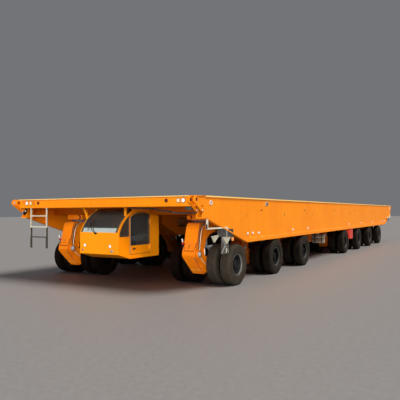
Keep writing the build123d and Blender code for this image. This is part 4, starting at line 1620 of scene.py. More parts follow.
    def cushion(self, name: str, middle: Point, size: Point, tilt: float) -> None:
        """A crowned seat pad whose sides pull in between its corners.

        Args:
            name: The piece's name.
            middle: Its middle.
            size: Its width, length and thickness.
            tilt: How far it leans back, in degrees.
        """
        across, along = 20, 20
        mesh = bmesh.new()
        rows = []
        for layer in (1, -1):
            grid = []
            for i in range(across + 1):
                line = []
                for j in range(along + 1):
                    u, v = 2 * i / across - 1, 2 * j / along - 1
                    crown = ((1 - u ** 4) * (1 - v ** 4)) ** 0.5
                    pinch = 1 - 0.05 * (1 - v * v) * abs(u) ** 3
                    waist = 1 - 0.05 * (1 - u * u) * abs(v) ** 3
                    welt = -0.012 * math.exp(-((abs(u) - 0.62) / 0.035) ** 2) if layer > 0 else 0.0
                    z = layer * size[2] / 2 * (0.25 + 0.75 * crown) + welt * crown
                    line.append(mesh.verts.new((u * pinch * size[0] / 2, v * waist * size[1] / 2, z)))
                grid.append(line)
            rows.append(grid)
        for layer, grid in enumerate(rows):
            for i in range(across):
                for j in range(along):
                    face = [grid[i][j], grid[i + 1][j], grid[i + 1][j + 1], grid[i][j + 1]]
                    mesh.faces.new(face if layer == 0 else face[::-1])
        top, foot = rows
        rim = [(i, 0) for i in range(across)] + [(across, j) for j in range(along)]
        rim += [(i, along) for i in range(across, 0, -1)] + [(0, j) for j in range(along, 0, -1)]
        for (i, j), (k, m) in zip(rim, rim[1:] + rim[:1]):
            mesh.faces.new([top[i][j], foot[i][j], foot[k][m], top[k][m]])
        bmesh.ops.recalc_face_normals(mesh, faces=mesh.faces)
        data = bpy.data.meshes.new(name)
        mesh.to_mesh(data)
        mesh.free()
        data.materials.append(SEAT_CLOTH.material())
        data.shade_smooth()
        made = stand(name, data, Matrix.Translation(middle) @ Matrix.Rotation(math.radians(tilt), 4, "X"))
        made.modifiers.new("soft", "SUBSURF").levels = 1
        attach(made, "chassis")

    def inside(self) -> None:
        """Seat, desk, wheel and levers in place of the plain solids."""
        form = Form()
        floor = self.floor
        # Pedestal and seat pan
        pedestal = [(at(1.24), floor), (at(1.49), floor), (at(1.47), 0.98), (at(1.26), 0.98)]
        form.prism(rounded(pedestal, 0.02), Across.X, -0.16, 0.16, DARK_TRIM)
        form.box((-0.22, at(1.10), 0.99), (0.22, at(1.55), 1.03), DARK_METAL_AND_PAINTED_SHADE)
        for side in (-1, 1):
            x = side * 0.235
            form.prism(rounded(rect((at(1.20), 1.24), (at(1.55), 1.29)), 0.02), Across.X, x - side * 0.01,
                       x + side * 0.03, DARK_TRIM)
            form.rod((x, at(1.50), 1.05), (x, at(1.50), 1.25), 0.015, DARK_METAL_AND_PAINTED_SHADE, steps=10)
        # Desk with its hooded panel
        desk = [(at(0.70), floor), (at(0.80), floor), (at(0.83), 1.12), (at(0.86), 1.27), (at(0.84), 1.30),
                (at(0.46), 1.40), (at(0.44), 1.37), (at(0.62), 1.29), (at(0.64), 1.10)]
        form.prism(desk, Across.X, -0.33, 0.33, DARK_TRIM)
        for i in range(6):
            x = -0.25 + 0.1 * i
            form.rod((x, at(0.66), 1.346), (x, at(0.663), 1.356), 0.022, GREY_PAINT, steps=18)
        form.rod((0.0, at(0.80), 1.30), (0.0, at(0.93), 1.42), 0.022, DARK_METAL_AND_PAINTED_SHADE, steps=14)
        # Steering wheel
        rim = [(out, 0.17 + rise) for out, rise in circle(8, 0.012)]
        column = Vector((0, at(0.93), 1.42))
        lean = (0, math.cos(math.radians(43)), math.sin(math.radians(43)))
        form.turned(rim, column, lean, 40, DARK_TRIM, closed=True)
        form.turned([(-0.01, ON_AXIS), (-0.01, 0.045), (0.01, 0.045), (0.015, ON_AXIS)], column, lean, 24,
                    DARK_TRIM)
        tilt = Vector(lean).to_track_quat("X", "Z").to_matrix()
        for i in range(3):
            angle = 2 * math.pi * i / 3
            hub, end = (tilt @ Vector((0, r * math.sin(angle), -r * math.cos(angle))) for r in (0.03, 0.165))
            form.rod(column + hub, column + end, 0.008, DARK_TRIM, steps=8)
        # Levers and pedals
        for x in (-0.26, -0.22, 0.24):
            form.rod((x, at(1.02), floor), (x, at(0.96), 1.10), 0.010, DARK_METAL_AND_PAINTED_SHADE, steps=10)
            form.rod((x, at(0.96), 1.10), (x, at(0.955), 1.15), 0.020, DARK_TRIM, steps=12, chamfer=0.4)
        for x in (-0.10, 0.08):
            form.prism([(at(0.83), 0.78), (at(0.85), 0.78), (at(0.90), 0.90), (at(0.88), 0.90)], Across.X,
                       x - 0.04, x + 0.04, DARK_METAL_AND_PAINTED_SHADE)
        made = form.piece("driver_place")
        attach(made, "chassis")
        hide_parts("operator_station")
        self.cushion("seat_cushion", (0, at(1.33), 1.085), (0.46, 0.46, 0.12), 3.0)
        self.cushion("seat_back", (0, at(1.62), 1.37), (0.44, 0.50, 0.11), 76.0)

    def build(self) -> None:
        """Dress the cab."""
        self.outside()
        self.door()
        self.inside()
        log.info("cab: trim, door trim, driver's place, 2 cushions, wiper")


@dataclass
class EndFittings:
    """Lamps, horns, work lamps, bolts and hoses of both end beams."""

    beam: float = 0.060
    lamp_z: float = 2.285
    round_lamps: tuple[float, ...] = (2.86, -2.77)
    cream_lamps: tuple[float, ...] = (2.72, -2.59)
    horns: tuple[float, ...] = (2.36, -2.27)
    work_lamp: Flat = (-2.88, 2.055)
    bolts: int = 27
    bolt_z: float = 2.165
    stiffeners: int = 13
    hose_route: tuple[Flat, ...] = ((0.9, 2.12), (1.4, 2.10), (1.76, 2.09), (1.94, 2.04), (2.20, 2.02),
                                    (2.39, 1.98), (2.70, 1.97), (2.95, 1.97), (3.06, 2.02), (3.07, 2.10))
    beam_route: tuple[Flat, ...] = ((-2.9, 2.20), (-1.5, 2.195), (1.2, 2.20), (3.05, 2.195))

    def disc(self, form: Form, end: End, x: float, z: float, radius: float, proud: float,
             finish: Finish) -> None:
        """Add a low domed disc on the beam's face.

        Args:
            form: The piece to add to.
            end: Which end.
            x: Its X, as at the front end.
            z: Its height.
            radius: Its radius.
            proud: How far it stands out.
            finish: What it is made of.
        """
        form.turned([(-0.004, radius), (proud * 0.7, radius), (proud, radius * 0.8), (proud * 1.05, ON_AXIS)],
                    (-end.value * x, end.y(self.beam), z), (0, end.value, 0), 28, finish)

    def plate(self, form: Form, end: End, low: Flat, high: Flat, proud: float, finish: Finish) -> None:
        """Add a flat piece with small rounded corners on the beam's face.

        Args:
            form: The piece to add to.
            end: Which end.
            low: Its lower corner, as X and Z at the front end.
            high: Its upper corner.
            proud: How far it stands out.
            finish: What it is made of.
        """
        left, right = sorted((-end.value * low[0], -end.value * high[0]))
        soft = min(right - left, high[1] - low[1]) * 0.15
        form.prism(rounded(rect((left, low[1]), (right, high[1])), soft), Across.Y, end.y(self.beam),
                   end.y(self.beam - proud), finish)

    def lamps(self, end: End) -> Form:
        """Lamps, horns and reflectors of one end.

        Args:
            end: Which end.

        Returns:
            The mesh in the making.
        """
        form = Form()
        main = WHITE_LENS if end is End.FRONT else RED_LENS
        for x in self.round_lamps:
            self.disc(form, end, x, self.lamp_z, 0.064, 0.006, SEAM_PAINT)
            self.disc(form, end, x, self.lamp_z, 0.056, 0.012, GREY_PAINT)
            self.disc(form, end, x, self.lamp_z, 0.048, 0.018, main)
        for x in self.cream_lamps:
            self.plate(form, end, (x - 0.056, self.lamp_z - 0.054), (x + 0.056, self.lamp_z + 0.054), 0.010,
                       SEAM_PAINT)
            self.plate(form, end, (x - 0.044, self.lamp_z - 0.044), (x + 0.044, self.lamp_z + 0.044), 0.016,
                       CREAM_LENS)
        # Horn mouths, the small dot and the slot are near-black: painted shade in their openings
        for x in self.horns:
            self.disc(form, end, x, self.lamp_z, 0.050, 0.010, SEAM_PAINT)
            self.disc(form, end, x, self.lamp_z, 0.034, 0.014, PAINTED_SHADE_DARK)
        self.disc(form, end, 3.03, 2.30, 0.022, 0.003, PAINTED_SHADE_DARK)
        self.disc(form, end, -2.90, 2.31, 0.026, 0.010, RED_LENS)
        self.plate(form, end, (-2.475, 2.22), (-2.450, 2.34), 0.003, PAINTED_SHADE_DARK)
        return form

    def build(self) -> None:
        """Fit both ends."""
        for end in End:
            made = self.lamps(end).piece(f"lamp_set_{end.name.lower()}")
            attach(made, "chassis")
            if end is End.FRONT:
                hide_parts("lamps")
            form = Form()
            turn = -end.value
            # Round work lamp on its bracket on the left, junction box on the right
            lamp_x, lamp_z = turn * self.work_lamp[0], self.work_lamp[1]
            y = end.y(0.10)
            form.turned([(-0.05, ON_AXIS), (-0.05, 0.03), (-0.02, 0.058), (0.0, 0.060), (0.006, 0.054),
                         (0.002, 0.046)], (lamp_x, y, lamp_z), (0, end.value, 0), 32, DARK_METAL_AND_PAINTED_SHADE)
            form.turned([(0.001, 0.047), (0.006, 0.022)], (lamp_x, y, lamp_z), (0, end.value, 0), 28,
                        DARK_SEAL)
            form.turned([(0.006, 0.022), (0.008, ON_AXIS)], (lamp_x, y, lamp_z), (0, end.value, 0), 28,
                        CREAM_LENS)
            form.box((lamp_x - 0.02, end.y(0.115), 2.05), (lamp_x + 0.02, end.y(0.14), 2.141), DARK_METAL_AND_PAINTED_SHADE)
            form.box((turn * 2.88, end.y(0.12), 2.05), (turn * 3.04, end.y(0.24), 2.1405), BLOCK_RUBBER)
            for i in range(self.bolts):
                x = -2.6 + 0.2 * i
                form.rod((x, end.y(self.beam), self.bolt_z), (x, end.y(self.beam - 0.006), self.bolt_z),
                         0.008, FRAME_PAINT, steps=6)
            for i in range(self.stiffeners):
                x = -2.7 + 0.45 * i
                form.box((x - 0.005, end.y(self.beam + 0.02), 2.159),
                         (x + 0.005, end.y(self.beam + 0.11), 2.375), FRAME_PAINT)
            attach(form.piece(f"end_fittings_{end.name.lower()}"), "chassis")
            hose = Pipes(f"beam_hoses_{end.name.lower()}", 0.020, HOSE_RUBBER)
            for route, station in ((self.hose_route, 0.40), (self.beam_route, 0.13)):
                hose.run(*((turn * x, end.y(station), z) for x, z in route))
            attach(hose.piece(), "chassis")
        log.info("end beams: lamps, fittings and hoses at both ends")


@dataclass
class SideFittings:
    """Lamps, reflectors, slots, gussets, foot band and line numbers along both side girders."""

    web: float = 3.27
    gusset_out: float = 3.305
    rings: tuple[float, ...] = (0.67, 26.03)
    ring_z: float = 2.23
    lamps: tuple[float, ...] = (2.77, 3.11, 23.93, 23.59)
    lamp_z: float = 1.385
    reflectors: tuple[float, ...] = (3.57, 6.51, 8.17, 14.56, 17.30, 20.10, 22.90)
    slots: tuple[float, ...] = (3.78, 7.79, 11.80, 15.80, 19.80, 23.80)
    socket: Flat = (4.16, 2.24)
    seams: tuple[float, ...] = (3.3, 6.1, 8.9, 10.5, 12.1, 14.9, 17.7, 20.5, 23.3)
    gussets: tuple[float, ...] = (2.95, 3.80, 5.70, 6.55, 8.60, 12.40, 14.60, 15.35, 17.25, 20.15, 23.05,
                                  23.80)
    numbers: tuple[float, ...] = (2.74, 5.70, 8.68, 14.60, 17.40, 20.20, 23.00)

    def pad(self, form: Form, side: Side, middle: Flat, size: Flat, proud: float, finish: Finish) -> None:
        """Add a flat pad with small rounded corners on the web.

        Args:
            form: The piece to add to.
            side: Which side.
            middle: Station and height of its middle.
            size: Its length and height.
            proud: How far it stands out.
            finish: What it is made of.
        """
        (station, z), (length, height) = middle, size
        outline = rect((at(station - length / 2), z - height / 2),
                       (at(station + length / 2), z + height / 2))
        form.prism(rounded(outline, min(size) * 0.2), Across.X, side.value * self.web,
                   side.value * (self.web + proud), finish)

    def fit(self, form: Form, side: Side) -> None:
        """Add the rings, lamps, reflectors, slots and socket of one side.

        Args:
            form: The piece to add to.
            side: Which side.
        """
        s = side.value
        face = s * self.web
        along = (s, 0, 0)
        for station in self.rings:
            form.turned([(out, 0.048 + rise) for out, rise in circle(8, 0.012)],
                        (face + s * 0.012, at(station), self.ring_z), along, 32, WHITE_PAINT, closed=True)
            # Near-black disc inside the ring: painted shade of its hole
            form.turned([(0, 0.042), (0.002, 0.040), (0.002, ON_AXIS)], (face, at(station), self.ring_z),
                        along, 28, PAINTED_SHADE_DARK)
        for station in self.lamps:
            place = (face + s * 0.010, at(station), self.lamp_z)
            form.turned([(0, 0.044), (0.010, 0.044), (0.014, 0.034)], place, along, 28, GREY_PAINT)
            form.turned([(0.012, 0.036), (0.020, 0.026), (0.023, ON_AXIS)], place, along, 28, WHITE_LENS)
        for station in self.reflectors:
            self.pad(form, side, (station, 1.375), (0.13, 0.055), 0.014, WHITE_PAINT)
        # Slots as thin near-black pads: painted shade of their openings
        for station in self.slots:
            self.pad(form, side, (station, 2.05), (0.15, 0.030), 0.002, PAINTED_SHADE_DARK)
        self.pad(form, side, self.socket, (0.16, 0.10), 0.030, GREY_PAINT)
        self.pad(form, side, self.socket, (0.10, 0.05), 0.036, DARK_METAL_AND_PAINTED_SHADE)

    def stiffen(self, form: Form, side: Side) -> None:
        """Add the web's weld seams, the gussets under it and the foot band along the flange.

        Args:
            form: The piece to add to.
            side: Which side.
        """
        s = side.value
        face = s * self.web
        for station in self.seams:
            form.prism(rect((at(station) - 0.002, 1.335), (at(station) + 0.002, 2.378)), Across.X, face,
                       face + s * 0.0015, FRAME_PAINT)
        for station in self.gussets:
            y = at(station)
            form.box((s * 3.282, y - 0.05, 1.095), (s * self.gusset_out, y + 0.05, 1.141), DARK_METAL_AND_PAINTED_SHADE)
            # Gusset triangle in the light orange of the painted highlight
            form.prism([(face, 1.256), (s * self.gusset_out, 1.256), (face, 1.31)], Across.Y, y - 0.006,
                       y + 0.006, PAINTED_HIGHLIGHT_ORANGE)
        # The band, with a painted highlight along its upper edge
        low, high = face - s * 0.01, s * 3.3095
        form.prism([(at(2.72), 1.1405), (at(23.98), 1.1405), (at(23.62), 1.250), (at(3.08), 1.250)], Across.X,
                   low, high, FRAME_PAINT)
        form.box((low, at(3.09), 1.249), (high, at(23.61), 1.2565), PAINTED_HIGHLIGHT_ORANGE)

    def build(self) -> None:
        """Fit both sides."""
        for side in Side:
            form = Form()
            self.fit(form, side)
            self.stiffen(form, side)
            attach(form.piece(f"side_fittings_{side.name.lower()}"), "chassis")
            face = side.value * (self.web + 0.0015)
            for line, station in enumerate(self.numbers, 1):
                mark = numeral(f"line_number_{side.name.lower()}_{line}", str(line), 0.12,
                               (face, at(station), 1.90), (0, side.value, 0), (0, 0, 1), MARK_PAINT)
                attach(mark, "chassis")
        log.info("side girders: fittings and numbers on both sides")


@dataclass
class Hangers:
    """Bar frames, buffer blocks, chocks, flap, marker lamp and tool tank, in place of their plain solids."""

    nose: float = 1.840
    slope: float = 0.7 / 2.28
    chamfer: float = 2.70

    def under(self, station: float) -> float:
        """Height of the girder's underside.

        Args:
            station: Station from the nearer end.

        Returns:
            The height.
        """
        return min(1.14 + self.slope * max(self.chamfer - station, 0.0), self.nose)

    def plate(self, form: Form, end: End, points: Sequence[Flat], low: float, high: float, finish: Finish,
              soft: float) -> None:
        """Add a plate that stands along the side.

        Args:
            form: The piece to add to.
            end: Which end.
            points: Its outline, as stations from that end and heights.
            low: X of its inner face.
            high: X of its outer face.
            finish: What it is made of.
            soft: Rounding of its corners.
        """
        form.prism(rounded([(end.y(a), b) for a, b in points], soft, 2), Across.X, low, high, finish)

    def frame_and_block(self, form: Form, end: End) -> None:
        """Add the bar frame and the ribbed rubber block behind its front plate.

        Args:
            form: The piece to add to.
            end: Which end.
        """
        under = self.under
        plates = [([(0.47, under(0.47)), (0.51, under(0.51)), (0.51, 1.61), (1.13, 1.61), (1.13, 1.57),
                    (0.47, 1.57)], 3.255, 3.295, CREAM_PAINT, 0.006),
                  (rect((1.10, 1.61), (1.50, 1.57)), 3.272, 3.306, CREAM_PAINT, 0.006),
                  (rect((0.47, 1.70), (0.475, 1.58)), 3.25, 3.30, CREAM_PAINT, 0.001),
                  ([(1.13, under(1.13)), (1.84, under(1.84)), (1.84, 1.34), (1.80, 1.315), (1.18, 1.35),
                    (1.13, 1.39)], 3.205, 3.271, BLOCK_RUBBER, 0.02),
                  ([(1.15, 1.555), (1.86, 1.545), (1.86, 1.37), (1.80, 1.325), (1.19, 1.35), (1.15, 1.39)],
                   3.271, 3.292, BLOCK_RUBBER, 0.03)]
        for rib in (1.18 + 0.095 * i for i in range(7)):
            plates.append(([(rib, 1.535), (rib + 0.06, 1.535), (rib + 0.06, 1.355), (rib, 1.365)], 3.290,
                           3.301, BLOCK_RUBBER, 0.01))
        plates.append((rect((1.445, 1.53), (1.475, 1.335)), 3.28, 3.309, GREY_PAINT, 0.006))
        plates.append((rect((1.36, 1.57), (1.56, 1.545)), 3.28, 3.309, CREAM_PAINT, 0.006))
        for points, low, high, finish, soft in plates:
            self.plate(form, end, points, low, high, finish, soft)

    def chock(self, form: Form, corners: Sequence[Flat], low: float) -> None:
        """Add a three-cornered wheel chock with a raised rim.

        Args:
            form: The piece to add to.
            corners: Its corners, as stations and heights.
            low: X of its inner face.
        """
        outline = [(at(a), b) for a, b in corners]
        middle = sum((Vector(p) for p in outline), Vector((0, 0))) / 3
        rim, inner = ([tuple(middle + (Vector(p) - middle) * share) for p in outline]
                      for share in (0.97, 0.7))
        form.prism(rounded(outline, 0.02), Across.X, low, low + 0.018, CHOCK_PAINT)
        form.band(rounded(rim, 0.018), rounded(inner, 0.012), Across.X, low + 0.018, low + 0.023,
                  CHOCK_PAINT)

    def brace(self, form: Form, start: Flat, end: Flat, finish: Finish) -> None:
        """Add a flat bar across the flap.

        Args:
            form: The piece to add to.
            start: Station and height of one end.
            end: Station and height of the other.
            finish: What it is made of.
        """
        foot, head = Vector((at(start[0]), start[1])), Vector((at(end[0]), end[1]))
        run = (head - foot).normalized() * 0.012
        across = Vector((-run.y, run.x))
        form.prism([tuple(foot - across), tuple(head - across), tuple(head + across), tuple(foot + across)],
                   Across.X, 3.282, 3.290, finish)

    def tool_tank(self, form: Form) -> None:
        """Add the tapered tool tank with its lid, straps and drain.

        Args:
            form: The piece to add to.
        """
        tank = [(at(14.50), 1.139), (at(14.64), 0.64), (at(15.26), 0.64), (at(15.30), 1.139)]
        form.prism(rounded(tank, 0.03), Across.X, 3.112, 3.268, RED_PAINT)
        lid = [(at(14.62), 0.84), (at(14.64), 0.72), (at(15.20), 0.72), (at(15.22), 1.06), (at(14.58), 1.06)]
        form.prism(rounded(lid, 0.03), Across.X, 3.266, 3.2695, RED_PAINT)
        for station in (14.75, 15.15):
            form.box((3.266, at(station) - 0.015, 0.645), (3.2698, at(station) + 0.015, 1.135), GREY_PAINT)
        form.rod((3.19, at(14.95), 0.641), (3.19, at(14.95), 0.655), 0.03, DARK_METAL_AND_PAINTED_SHADE, steps=16)

    def build(self) -> None:
        """Build the right side's hangers."""
        form = Form()
        for end in End:
            self.frame_and_block(form, end)
        # Two wheel chocks that hang point down, and the braced flap between them
        self.chock(form, ((0.78, 1.395), (1.16, 1.375), (0.92, 1.215)), 3.212)
        self.chock(form, ((1.22, 1.355), (1.68, 1.335), (1.45, 1.150)), 3.286)
        form.box((3.212, at(0.95), 1.38), (3.23, at(1.14), 1.40), CREAM_PAINT)
        flap = rounded([(at(1.21), 1.35), (at(1.19), 0.91), (at(1.60), 0.905), (at(1.60), 1.34)], 0.03)
        form.prism(flap, Across.X, 3.270, 3.284, FLAP_RUBBER)
        self.brace(form, (1.22, 1.32), (1.58, 0.94), GREY_PAINT)
        self.brace(form, (1.58, 1.32), (1.22, 0.94), GREY_PAINT)
        self.brace(form, (1.455, 1.10), (1.455, 0.93), CREAM_PAINT)
        # Amber marker lamp in its housing
        form.prism(rounded(rect((at(1.735), 1.215), (at(1.858), 1.34)), 0.02), Across.X, 3.252, 3.29,
                   DARK_METAL_AND_PAINTED_SHADE)
        form.prism(rounded(rect((at(1.75), 1.23), (at(1.845), 1.325)), 0.02), Across.X, 3.285, 3.309,
                   AMBER_LENS)
        self.tool_tank(form)
        made = form.piece("hanger_set")
        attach(made, "chassis")
        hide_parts("side_hangers")
        log.info("side hangers: 1 piece")


@dataclass
class MiddleBay:
    """Panels of the power pack, straps and caps of the tanks, air bottles, oil tank, cradle and hoses."""

    pack_face: float = 2.10
    pack_ends: Flat = (-4.15, -1.55)
    tank_low: Point = (-1.90, -3.95, 1.13)
    tank_high: Point = (-0.60, -1.75, 1.93)
    bottle: tuple[float, float] = (2.85, 10.85)
    bottle_zs: tuple[float, float] = (0.735, 0.925)
    oil_low: Point = (-2.96, 9.50, 0.40)
    oil_high: Point = (-2.30, 12.20, 1.138)
    oil_straps: tuple[float, ...] = (9.80, 10.85, 11.90)

    def louvres(self, form: Form, low: float, high: float, foot: float, head: float, x: float) -> None:
        """Add a framed bank of sloping blades on the pack's outer side.

        Args:
            form: The piece to add to.
            low: Y of its front edge.
            high: Y of its back edge.
            foot: Height of its foot.
            head: Height of its top.
            x: The panel's face.
        """
        outer = rounded(rect((low, foot), (high, head)), 0.02)
        inner = rounded(rect((low + 0.03, foot + 0.03), (high - 0.03, head - 0.03)), 0.02)
        form.band(outer, inner, Across.X, x, x + 0.012, PANEL_PAINT)
        # Near-black sheet behind the blades: painted shade
        form.box((x, low + 0.03, foot + 0.03), (x + 0.002, high - 0.03, head - 0.03), PAINTED_SHADE_DARK)
        count = int((head - foot - 0.08) / 0.055)
        for i in range(count):
            z = foot + 0.045 + 0.055 * i
            form.prism([(x + 0.001, z + 0.030), (x + 0.014, z), (x + 0.018, z), (x + 0.006, z + 0.034)],
                       Across.Y, low + 0.03, high - 0.03, PANEL_PAINT)

    def pack(self) -> Form:
        """Louvres, doors, latches and exhaust of the power pack.

        Returns:
            The mesh in the making.
        """
        form = Form()
        x = self.pack_face
        front, back = self.pack_ends
        third = (back - front) / 3
        for i in range(3):
            low, high = front + third * i + 0.05, front + third * (i + 1) - 0.05
            self.louvres(form, low, high, 1.30, 1.86, x)
            form.prism(rounded(rect((low, 0.86), (high, 1.24)), 0.03), Across.X, x, x + 0.008, PANEL_PAINT)
            for y in (low + 0.08, high - 0.08):
                form.box((x + 0.008, y - 0.03, 1.02), (x + 0.020, y + 0.03, 1.05), DARK_METAL_AND_PAINTED_SHADE)
            for z in (0.93, 1.17):
                form.rod((x + 0.012, low, z - 0.03), (x + 0.012, low, z + 0.03), 0.010, DARK_METAL_AND_PAINTED_SHADE, steps=10)
        form.rod((1.9, front + 0.2, 0.785), (1.9, back - 0.1, 0.785), 0.05, DARK_METAL_AND_PAINTED_SHADE, steps=24)
        for i in range(5):
            y = front + 0.35 + 0.45 * i
            form.box((1.84, y, 0.73), (1.96, y + 0.03, 0.80), GREY_PAINT)
        return form

    def tank(self, form: Form) -> None:
        """Add the tank's straps, filler and drain.

        Args:
            form: The piece to add to.
        """
        low, high = self.tank_low, self.tank_high
        for y in (-3.5, -2.85, -2.2):
            form.band(rect((low[0] - 0.006, low[2] - 0.006), (high[0], high[2] - 0.001)),
                      rect((low[0] + 0.002, low[2] + 0.002), (high[0] - 0.002, high[2] - 0.002)), Across.Y, y,
                      y + 0.05, GREY_PAINT)
        form.rod((low[0] + 0.01, -3.7, 1.75), (low[0] - 0.05, -3.7, 1.78), 0.05, DARK_METAL_AND_PAINTED_SHADE, steps=20)
        form.rod((low[0] + 0.01, -2.0, 1.40), (low[0] - 0.01, -2.0, 1.40), 0.04, CHROME, steps=20)

    def bottles(self, form: Form) -> None:
        """Add the two air bottles, one over the other, with their bands.

        Args:
            form: The piece to add to.
        """
        middle, station = self.bottle
        half = [(-0.262, ON_AXIS), (-0.258, 0.05), (-0.240, 0.082), (-0.21, 0.0945)]
        profile = half + [(-x, r) for x, r in reversed(half)]
        for z in self.bottle_zs:
            form.turned(profile, (middle, at(station), z), (1, 0, 0), 36, CREAM_PAINT)
            for x in (middle - 0.15, middle + 0.15):
                form.turned([(0, 0.0955), (0.03, 0.0955)], (x - 0.015, at(station), z), (1, 0, 0), 36,
                            DARK_METAL_AND_PAINTED_SHADE)

    def oil_tank(self, form: Form) -> None:
        """Add the oil tank on the left, with its straps, filler and sight glass. Its dark grey stands in for
        the deep shade under the deck: painted shade.

        Args:
            form: The piece to add to.
        """
        (left, front, foot), (right, back, top) = self.oil_low, self.oil_high
        form.prism(rounded(rect((left, foot), (right, top)), 0.07), Across.Y, at(front), at(back),
                   CHASSIS_GREY)
        strap = rounded(rect((left - 0.006, foot - 0.006), (right + 0.006, top + 0.0005)), 0.074)
        for station in self.oil_straps:
            form.prism(strap, Across.Y, at(station) - 0.03, at(station) + 0.03, BLOCK_IRON)
        form.rod((-2.93, at(10.30), 1.02), (-3.02, at(10.30), 1.05), 0.05, DARK_METAL_AND_PAINTED_SHADE, steps=28, chamfer=0.08)
        # Sight glass in the lamp lens finish, which glows faintly: painted glow
        form.box((-2.965, at(11.40) - 0.02, 0.60), (-2.975, at(11.40) + 0.02, 0.95), WHITE_LENS)

    def build(self) -> None:
        """Fit the middle bay."""
        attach(self.pack().piece("pack_panels"), "chassis")
        tanks = Form()
        self.tank(tanks)
        self.bottles(tanks)
        self.oil_tank(tanks)
        # Empty cradle ahead of the bottles
        tanks.band(rect((at(9.40), 0.765), (at(9.80), 1.065)), rect((at(9.44), 0.805), (at(9.76), 1.025)),
                   Across.X, 2.82, 2.88, ARM_PAINT)
        tanks.box((2.82, at(9.57), 0.80), (2.88, at(9.63), 1.40), ARM_PAINT)
        tanks.box((2.82, at(9.57), 1.34), (3.241, at(9.63), 1.40), ARM_PAINT)
        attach(tanks.piece("tank_straps"), "chassis")
        hoses = Pipes("bay_hoses", 0.018, HOSE_RUBBER)
        hoses.run((2.10, at(9.9), 1.35), (2.40, at(9.9), 1.25), (2.70, at(10.3), 1.05),
                  (2.75, at(10.75), 1.00))
        hoses.run((2.10, at(10.1), 1.30), (2.45, at(10.1), 1.18), (2.72, at(10.4), 0.98),
                  (2.76, at(10.75), 0.90))
        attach(hoses.piece(), "chassis")
        log.info("middle bay: panels, tanks, bottles, hoses")


@dataclass
class Ladders:
    """Both ladders: cream stiles with rubber sleeves below, square rungs with grips."""

    xs: tuple[float, float] = (1.930, 2.600)
    foot: float = 0.955
    top: float = 2.1405
    split: float = 1.30
    sleeve: float = 1.56
    rungs: tuple[float, float, float] = (1.28, 1.58, 1.905)

    def build(self) -> None:
        """Build both, the front one on the left and the rear one on the right."""
        form = Form()
        for end in End:
            turn = end.value
            y = end.y(0.085)
            for x in self.xs:
                middle = turn * x
                # The stile, its sleeve at the foot, and the half sleeve above that
                for inner, outer, deep, soft, foot, top, finish in (
                        (0.0125, 0.0125, 0.025, 0.005, self.foot, self.top, CREAM_PAINT),
                        (0.017, 0.017, 0.029, 0.006, self.foot + 0.001, self.split, FLAP_RUBBER),
                        (0.003, 0.017, 0.029, 0.006, self.split, self.sleeve, FLAP_RUBBER)):
                    outline = rect((middle - inner, y - deep), (middle + outer, y + deep))
                    form.prism(rounded(outline, soft), Across.Z, foot, top, finish)
                form.rod((middle - 0.02, y, 2.10), (middle + 0.02, y, 2.10), 0.012, DARK_METAL_AND_PAINTED_SHADE, steps=6)
            left, right = sorted((turn * self.xs[0], turn * self.xs[1]))
            for z in self.rungs:
                paint = BLOCK_RUBBER if z == self.rungs[0] else CREAM_PAINT
                rung = rounded(rect((y - 0.016, z - 0.016), (y + 0.016, z + 0.016)), 0.005)
                form.prism(rung, Across.X, left, right, paint)
                for i in range(9):
                    x = left + 0.06 + (right - left - 0.12) * i / 8
                    form.rod((x, y, z + 0.014), (x, y, z + 0.019), 0.006, GREY_PAINT, steps=8)
        made = form.piece("ladder_set")
        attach(made, "chassis")
        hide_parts("ladders")
        log.info("ladders: 2")


@dataclass
class Underside:
    """Pipes and hoses clipped along the spine."""

    stations: tuple[float, float, float] = (3.2, 14.0, 24.0)
    pipe_zs: tuple[float, ...] = (1.64, 1.71, 1.78)
    pipe_x: float = 0.622
    hose_x: float = 0.630
    hose_z: float = 1.56
    clip_xs: Flat = (0.60, 0.645)
    clip_zs: tuple[Flat, ...] = ((1.53, 1.55), (1.60, 1.615), (1.805, 1.82))

    def build(self) -> None:
        """Run the pipes along the whole spine."""
        pipes = Pipes("spine_pipes", 0.017, GREY_PAINT)
        hoses = Pipes("spine_hoses", 0.022, HOSE_RUBBER)
        clips = Form()
        for side in Side:
            s = side.value
            for z in self.pipe_zs:
                pipes.run(*((s * self.pipe_x, at(station), z) for station in self.stations))
            hoses.run(*((s * self.hose_x, at(station), self.hose_z) for station in self.stations))
            for i in range(19):
                y = at(3.4 + 1.14 * i)
                for foot, top in self.clip_zs:
                    clips.box((s * self.clip_xs[0], y, foot), (s * self.clip_xs[1], y + 0.04, top), DARK_METAL_AND_PAINTED_SHADE)
        for bundle in (pipes, hoses):
            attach(bundle.piece(), "chassis")
        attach(clips.piece("pipe_clips"), "chassis")
        log.info("underside: pipes, hoses, clips")


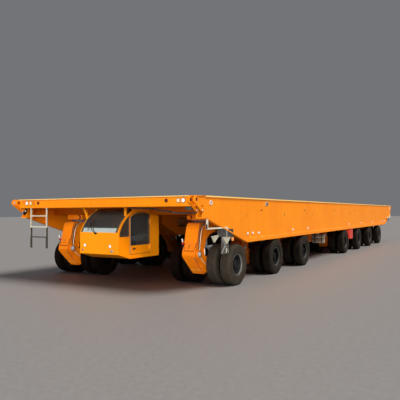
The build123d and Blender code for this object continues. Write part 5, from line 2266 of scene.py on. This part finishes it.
@dataclass
class DeckTop:
    """The deck plate with its weld seams, lashing pots and lifting plates, guessed from such machines."""

    top: float = 2.3965
    foot: float = 2.380
    half: float = 3.31
    end_half: float = 3.05
    strips: int = 18
    pots: int = 12
    pot_x: float = 2.95
    lift_plate: Flat = (2.6, 0.8)

    def build(self) -> None:
        """Lay the deck."""
        form = Form()
        form.box((-self.half + 0.012, at(0.010), self.foot), (self.half - 0.012, at(26.69), self.top),
                 FRAME_PAINT)
        for i in range(1, self.strips):
            y = at(EYE_SPACING * i / self.strips)
            form.box((-3.29, y - 0.006, self.top - 0.001), (3.29, y + 0.006, self.top + 0.001), FRAME_PAINT)
        for x in (-1.1, 1.1):
            form.box((x - 0.006, at(0.2), self.top - 0.001), (x + 0.006, at(26.5), self.top + 0.0008),
                     FRAME_PAINT)
        for i in range(self.pots):
            for side in Side:
                x, y = side.value * self.pot_x, at(1.6 + 2.136 * i)
                form.turned([(0, 0.11), (0.003, 0.105), (0.003, 0.07), (0.0005, 0.06), (0.0005, ON_AXIS)],
                            (x, y, self.top), (0, 0, 1), 32, DARK_METAL_AND_PAINTED_SHADE)
                form.box((x - 0.065, y - 0.008, self.top), (x + 0.065, y + 0.008, self.top + 0.0032),
                         GREY_PAINT)
        for side in Side:
            for end in End:
                x, y = side.value * self.lift_plate[0], end.y(self.lift_plate[1])
                outline = rounded(rect((x - 0.15, y - 0.15), (x + 0.15, y + 0.15)), 0.03)
                form.prism(outline, Across.Z, self.top, self.top + 0.003, GREY_PAINT)
            # Pale strip along each side edge of the deck: painted highlight
            form.box((side.value * (self.half - 0.030), at(0.42), self.foot - 0.016),
                     (side.value * self.half, at(EYE_SPACING - 0.42), self.top + 0.003), PAINTED_EDGE_HIGHLIGHT)
        # Pale strips along the deck's front and rear edges: painted highlight
        for near, far in ((0.0, 0.014), (EYE_SPACING - 0.014, EYE_SPACING)):
            form.box((-self.end_half, at(near), self.foot - 0.004),
                     (self.end_half, at(far), self.top + 0.003), PAINTED_EDGE_HIGHLIGHT)
        made = form.piece("deck")
        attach(made, "chassis")
        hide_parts("deck_plate")
        log.info("deck: seams, lashing pots, plates")


class Chassis:
    """The carried-over nodes, each in its finish. Those that are replaced later get a plain one."""

    def build(self) -> None:
        """Dress every CAD node that stays."""
        for name, node in frame["nodes"].items():
            finish = DRESSING.get(name, ARM_PAINT)
            node.data.materials.clear()
            node.data.materials.append(finish.material())
        log.info("carried-over nodes dressed: %d", len(frame["nodes"]))


def keep_sizes() -> None:
    """Bring the view layer up to date.
    """
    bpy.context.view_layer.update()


def main() -> None:
    """Build every sub-assembly in order."""
    logging.basicConfig(level=logging.INFO, format="%(message)s")
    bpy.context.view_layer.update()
    studio = Studio()
    for part in (studio, Chassis(), TwinWheel(), Bogies(), SteeringGear(), CabTrim(), Lugs(), EndFittings(),
                 SideFittings(), Hangers(), MiddleBay(), Ladders(), Underside(), DeckTop()):
        part.build()
    studio.shade()
    keep_sizes()


if __name__ == "__main__":
    main()
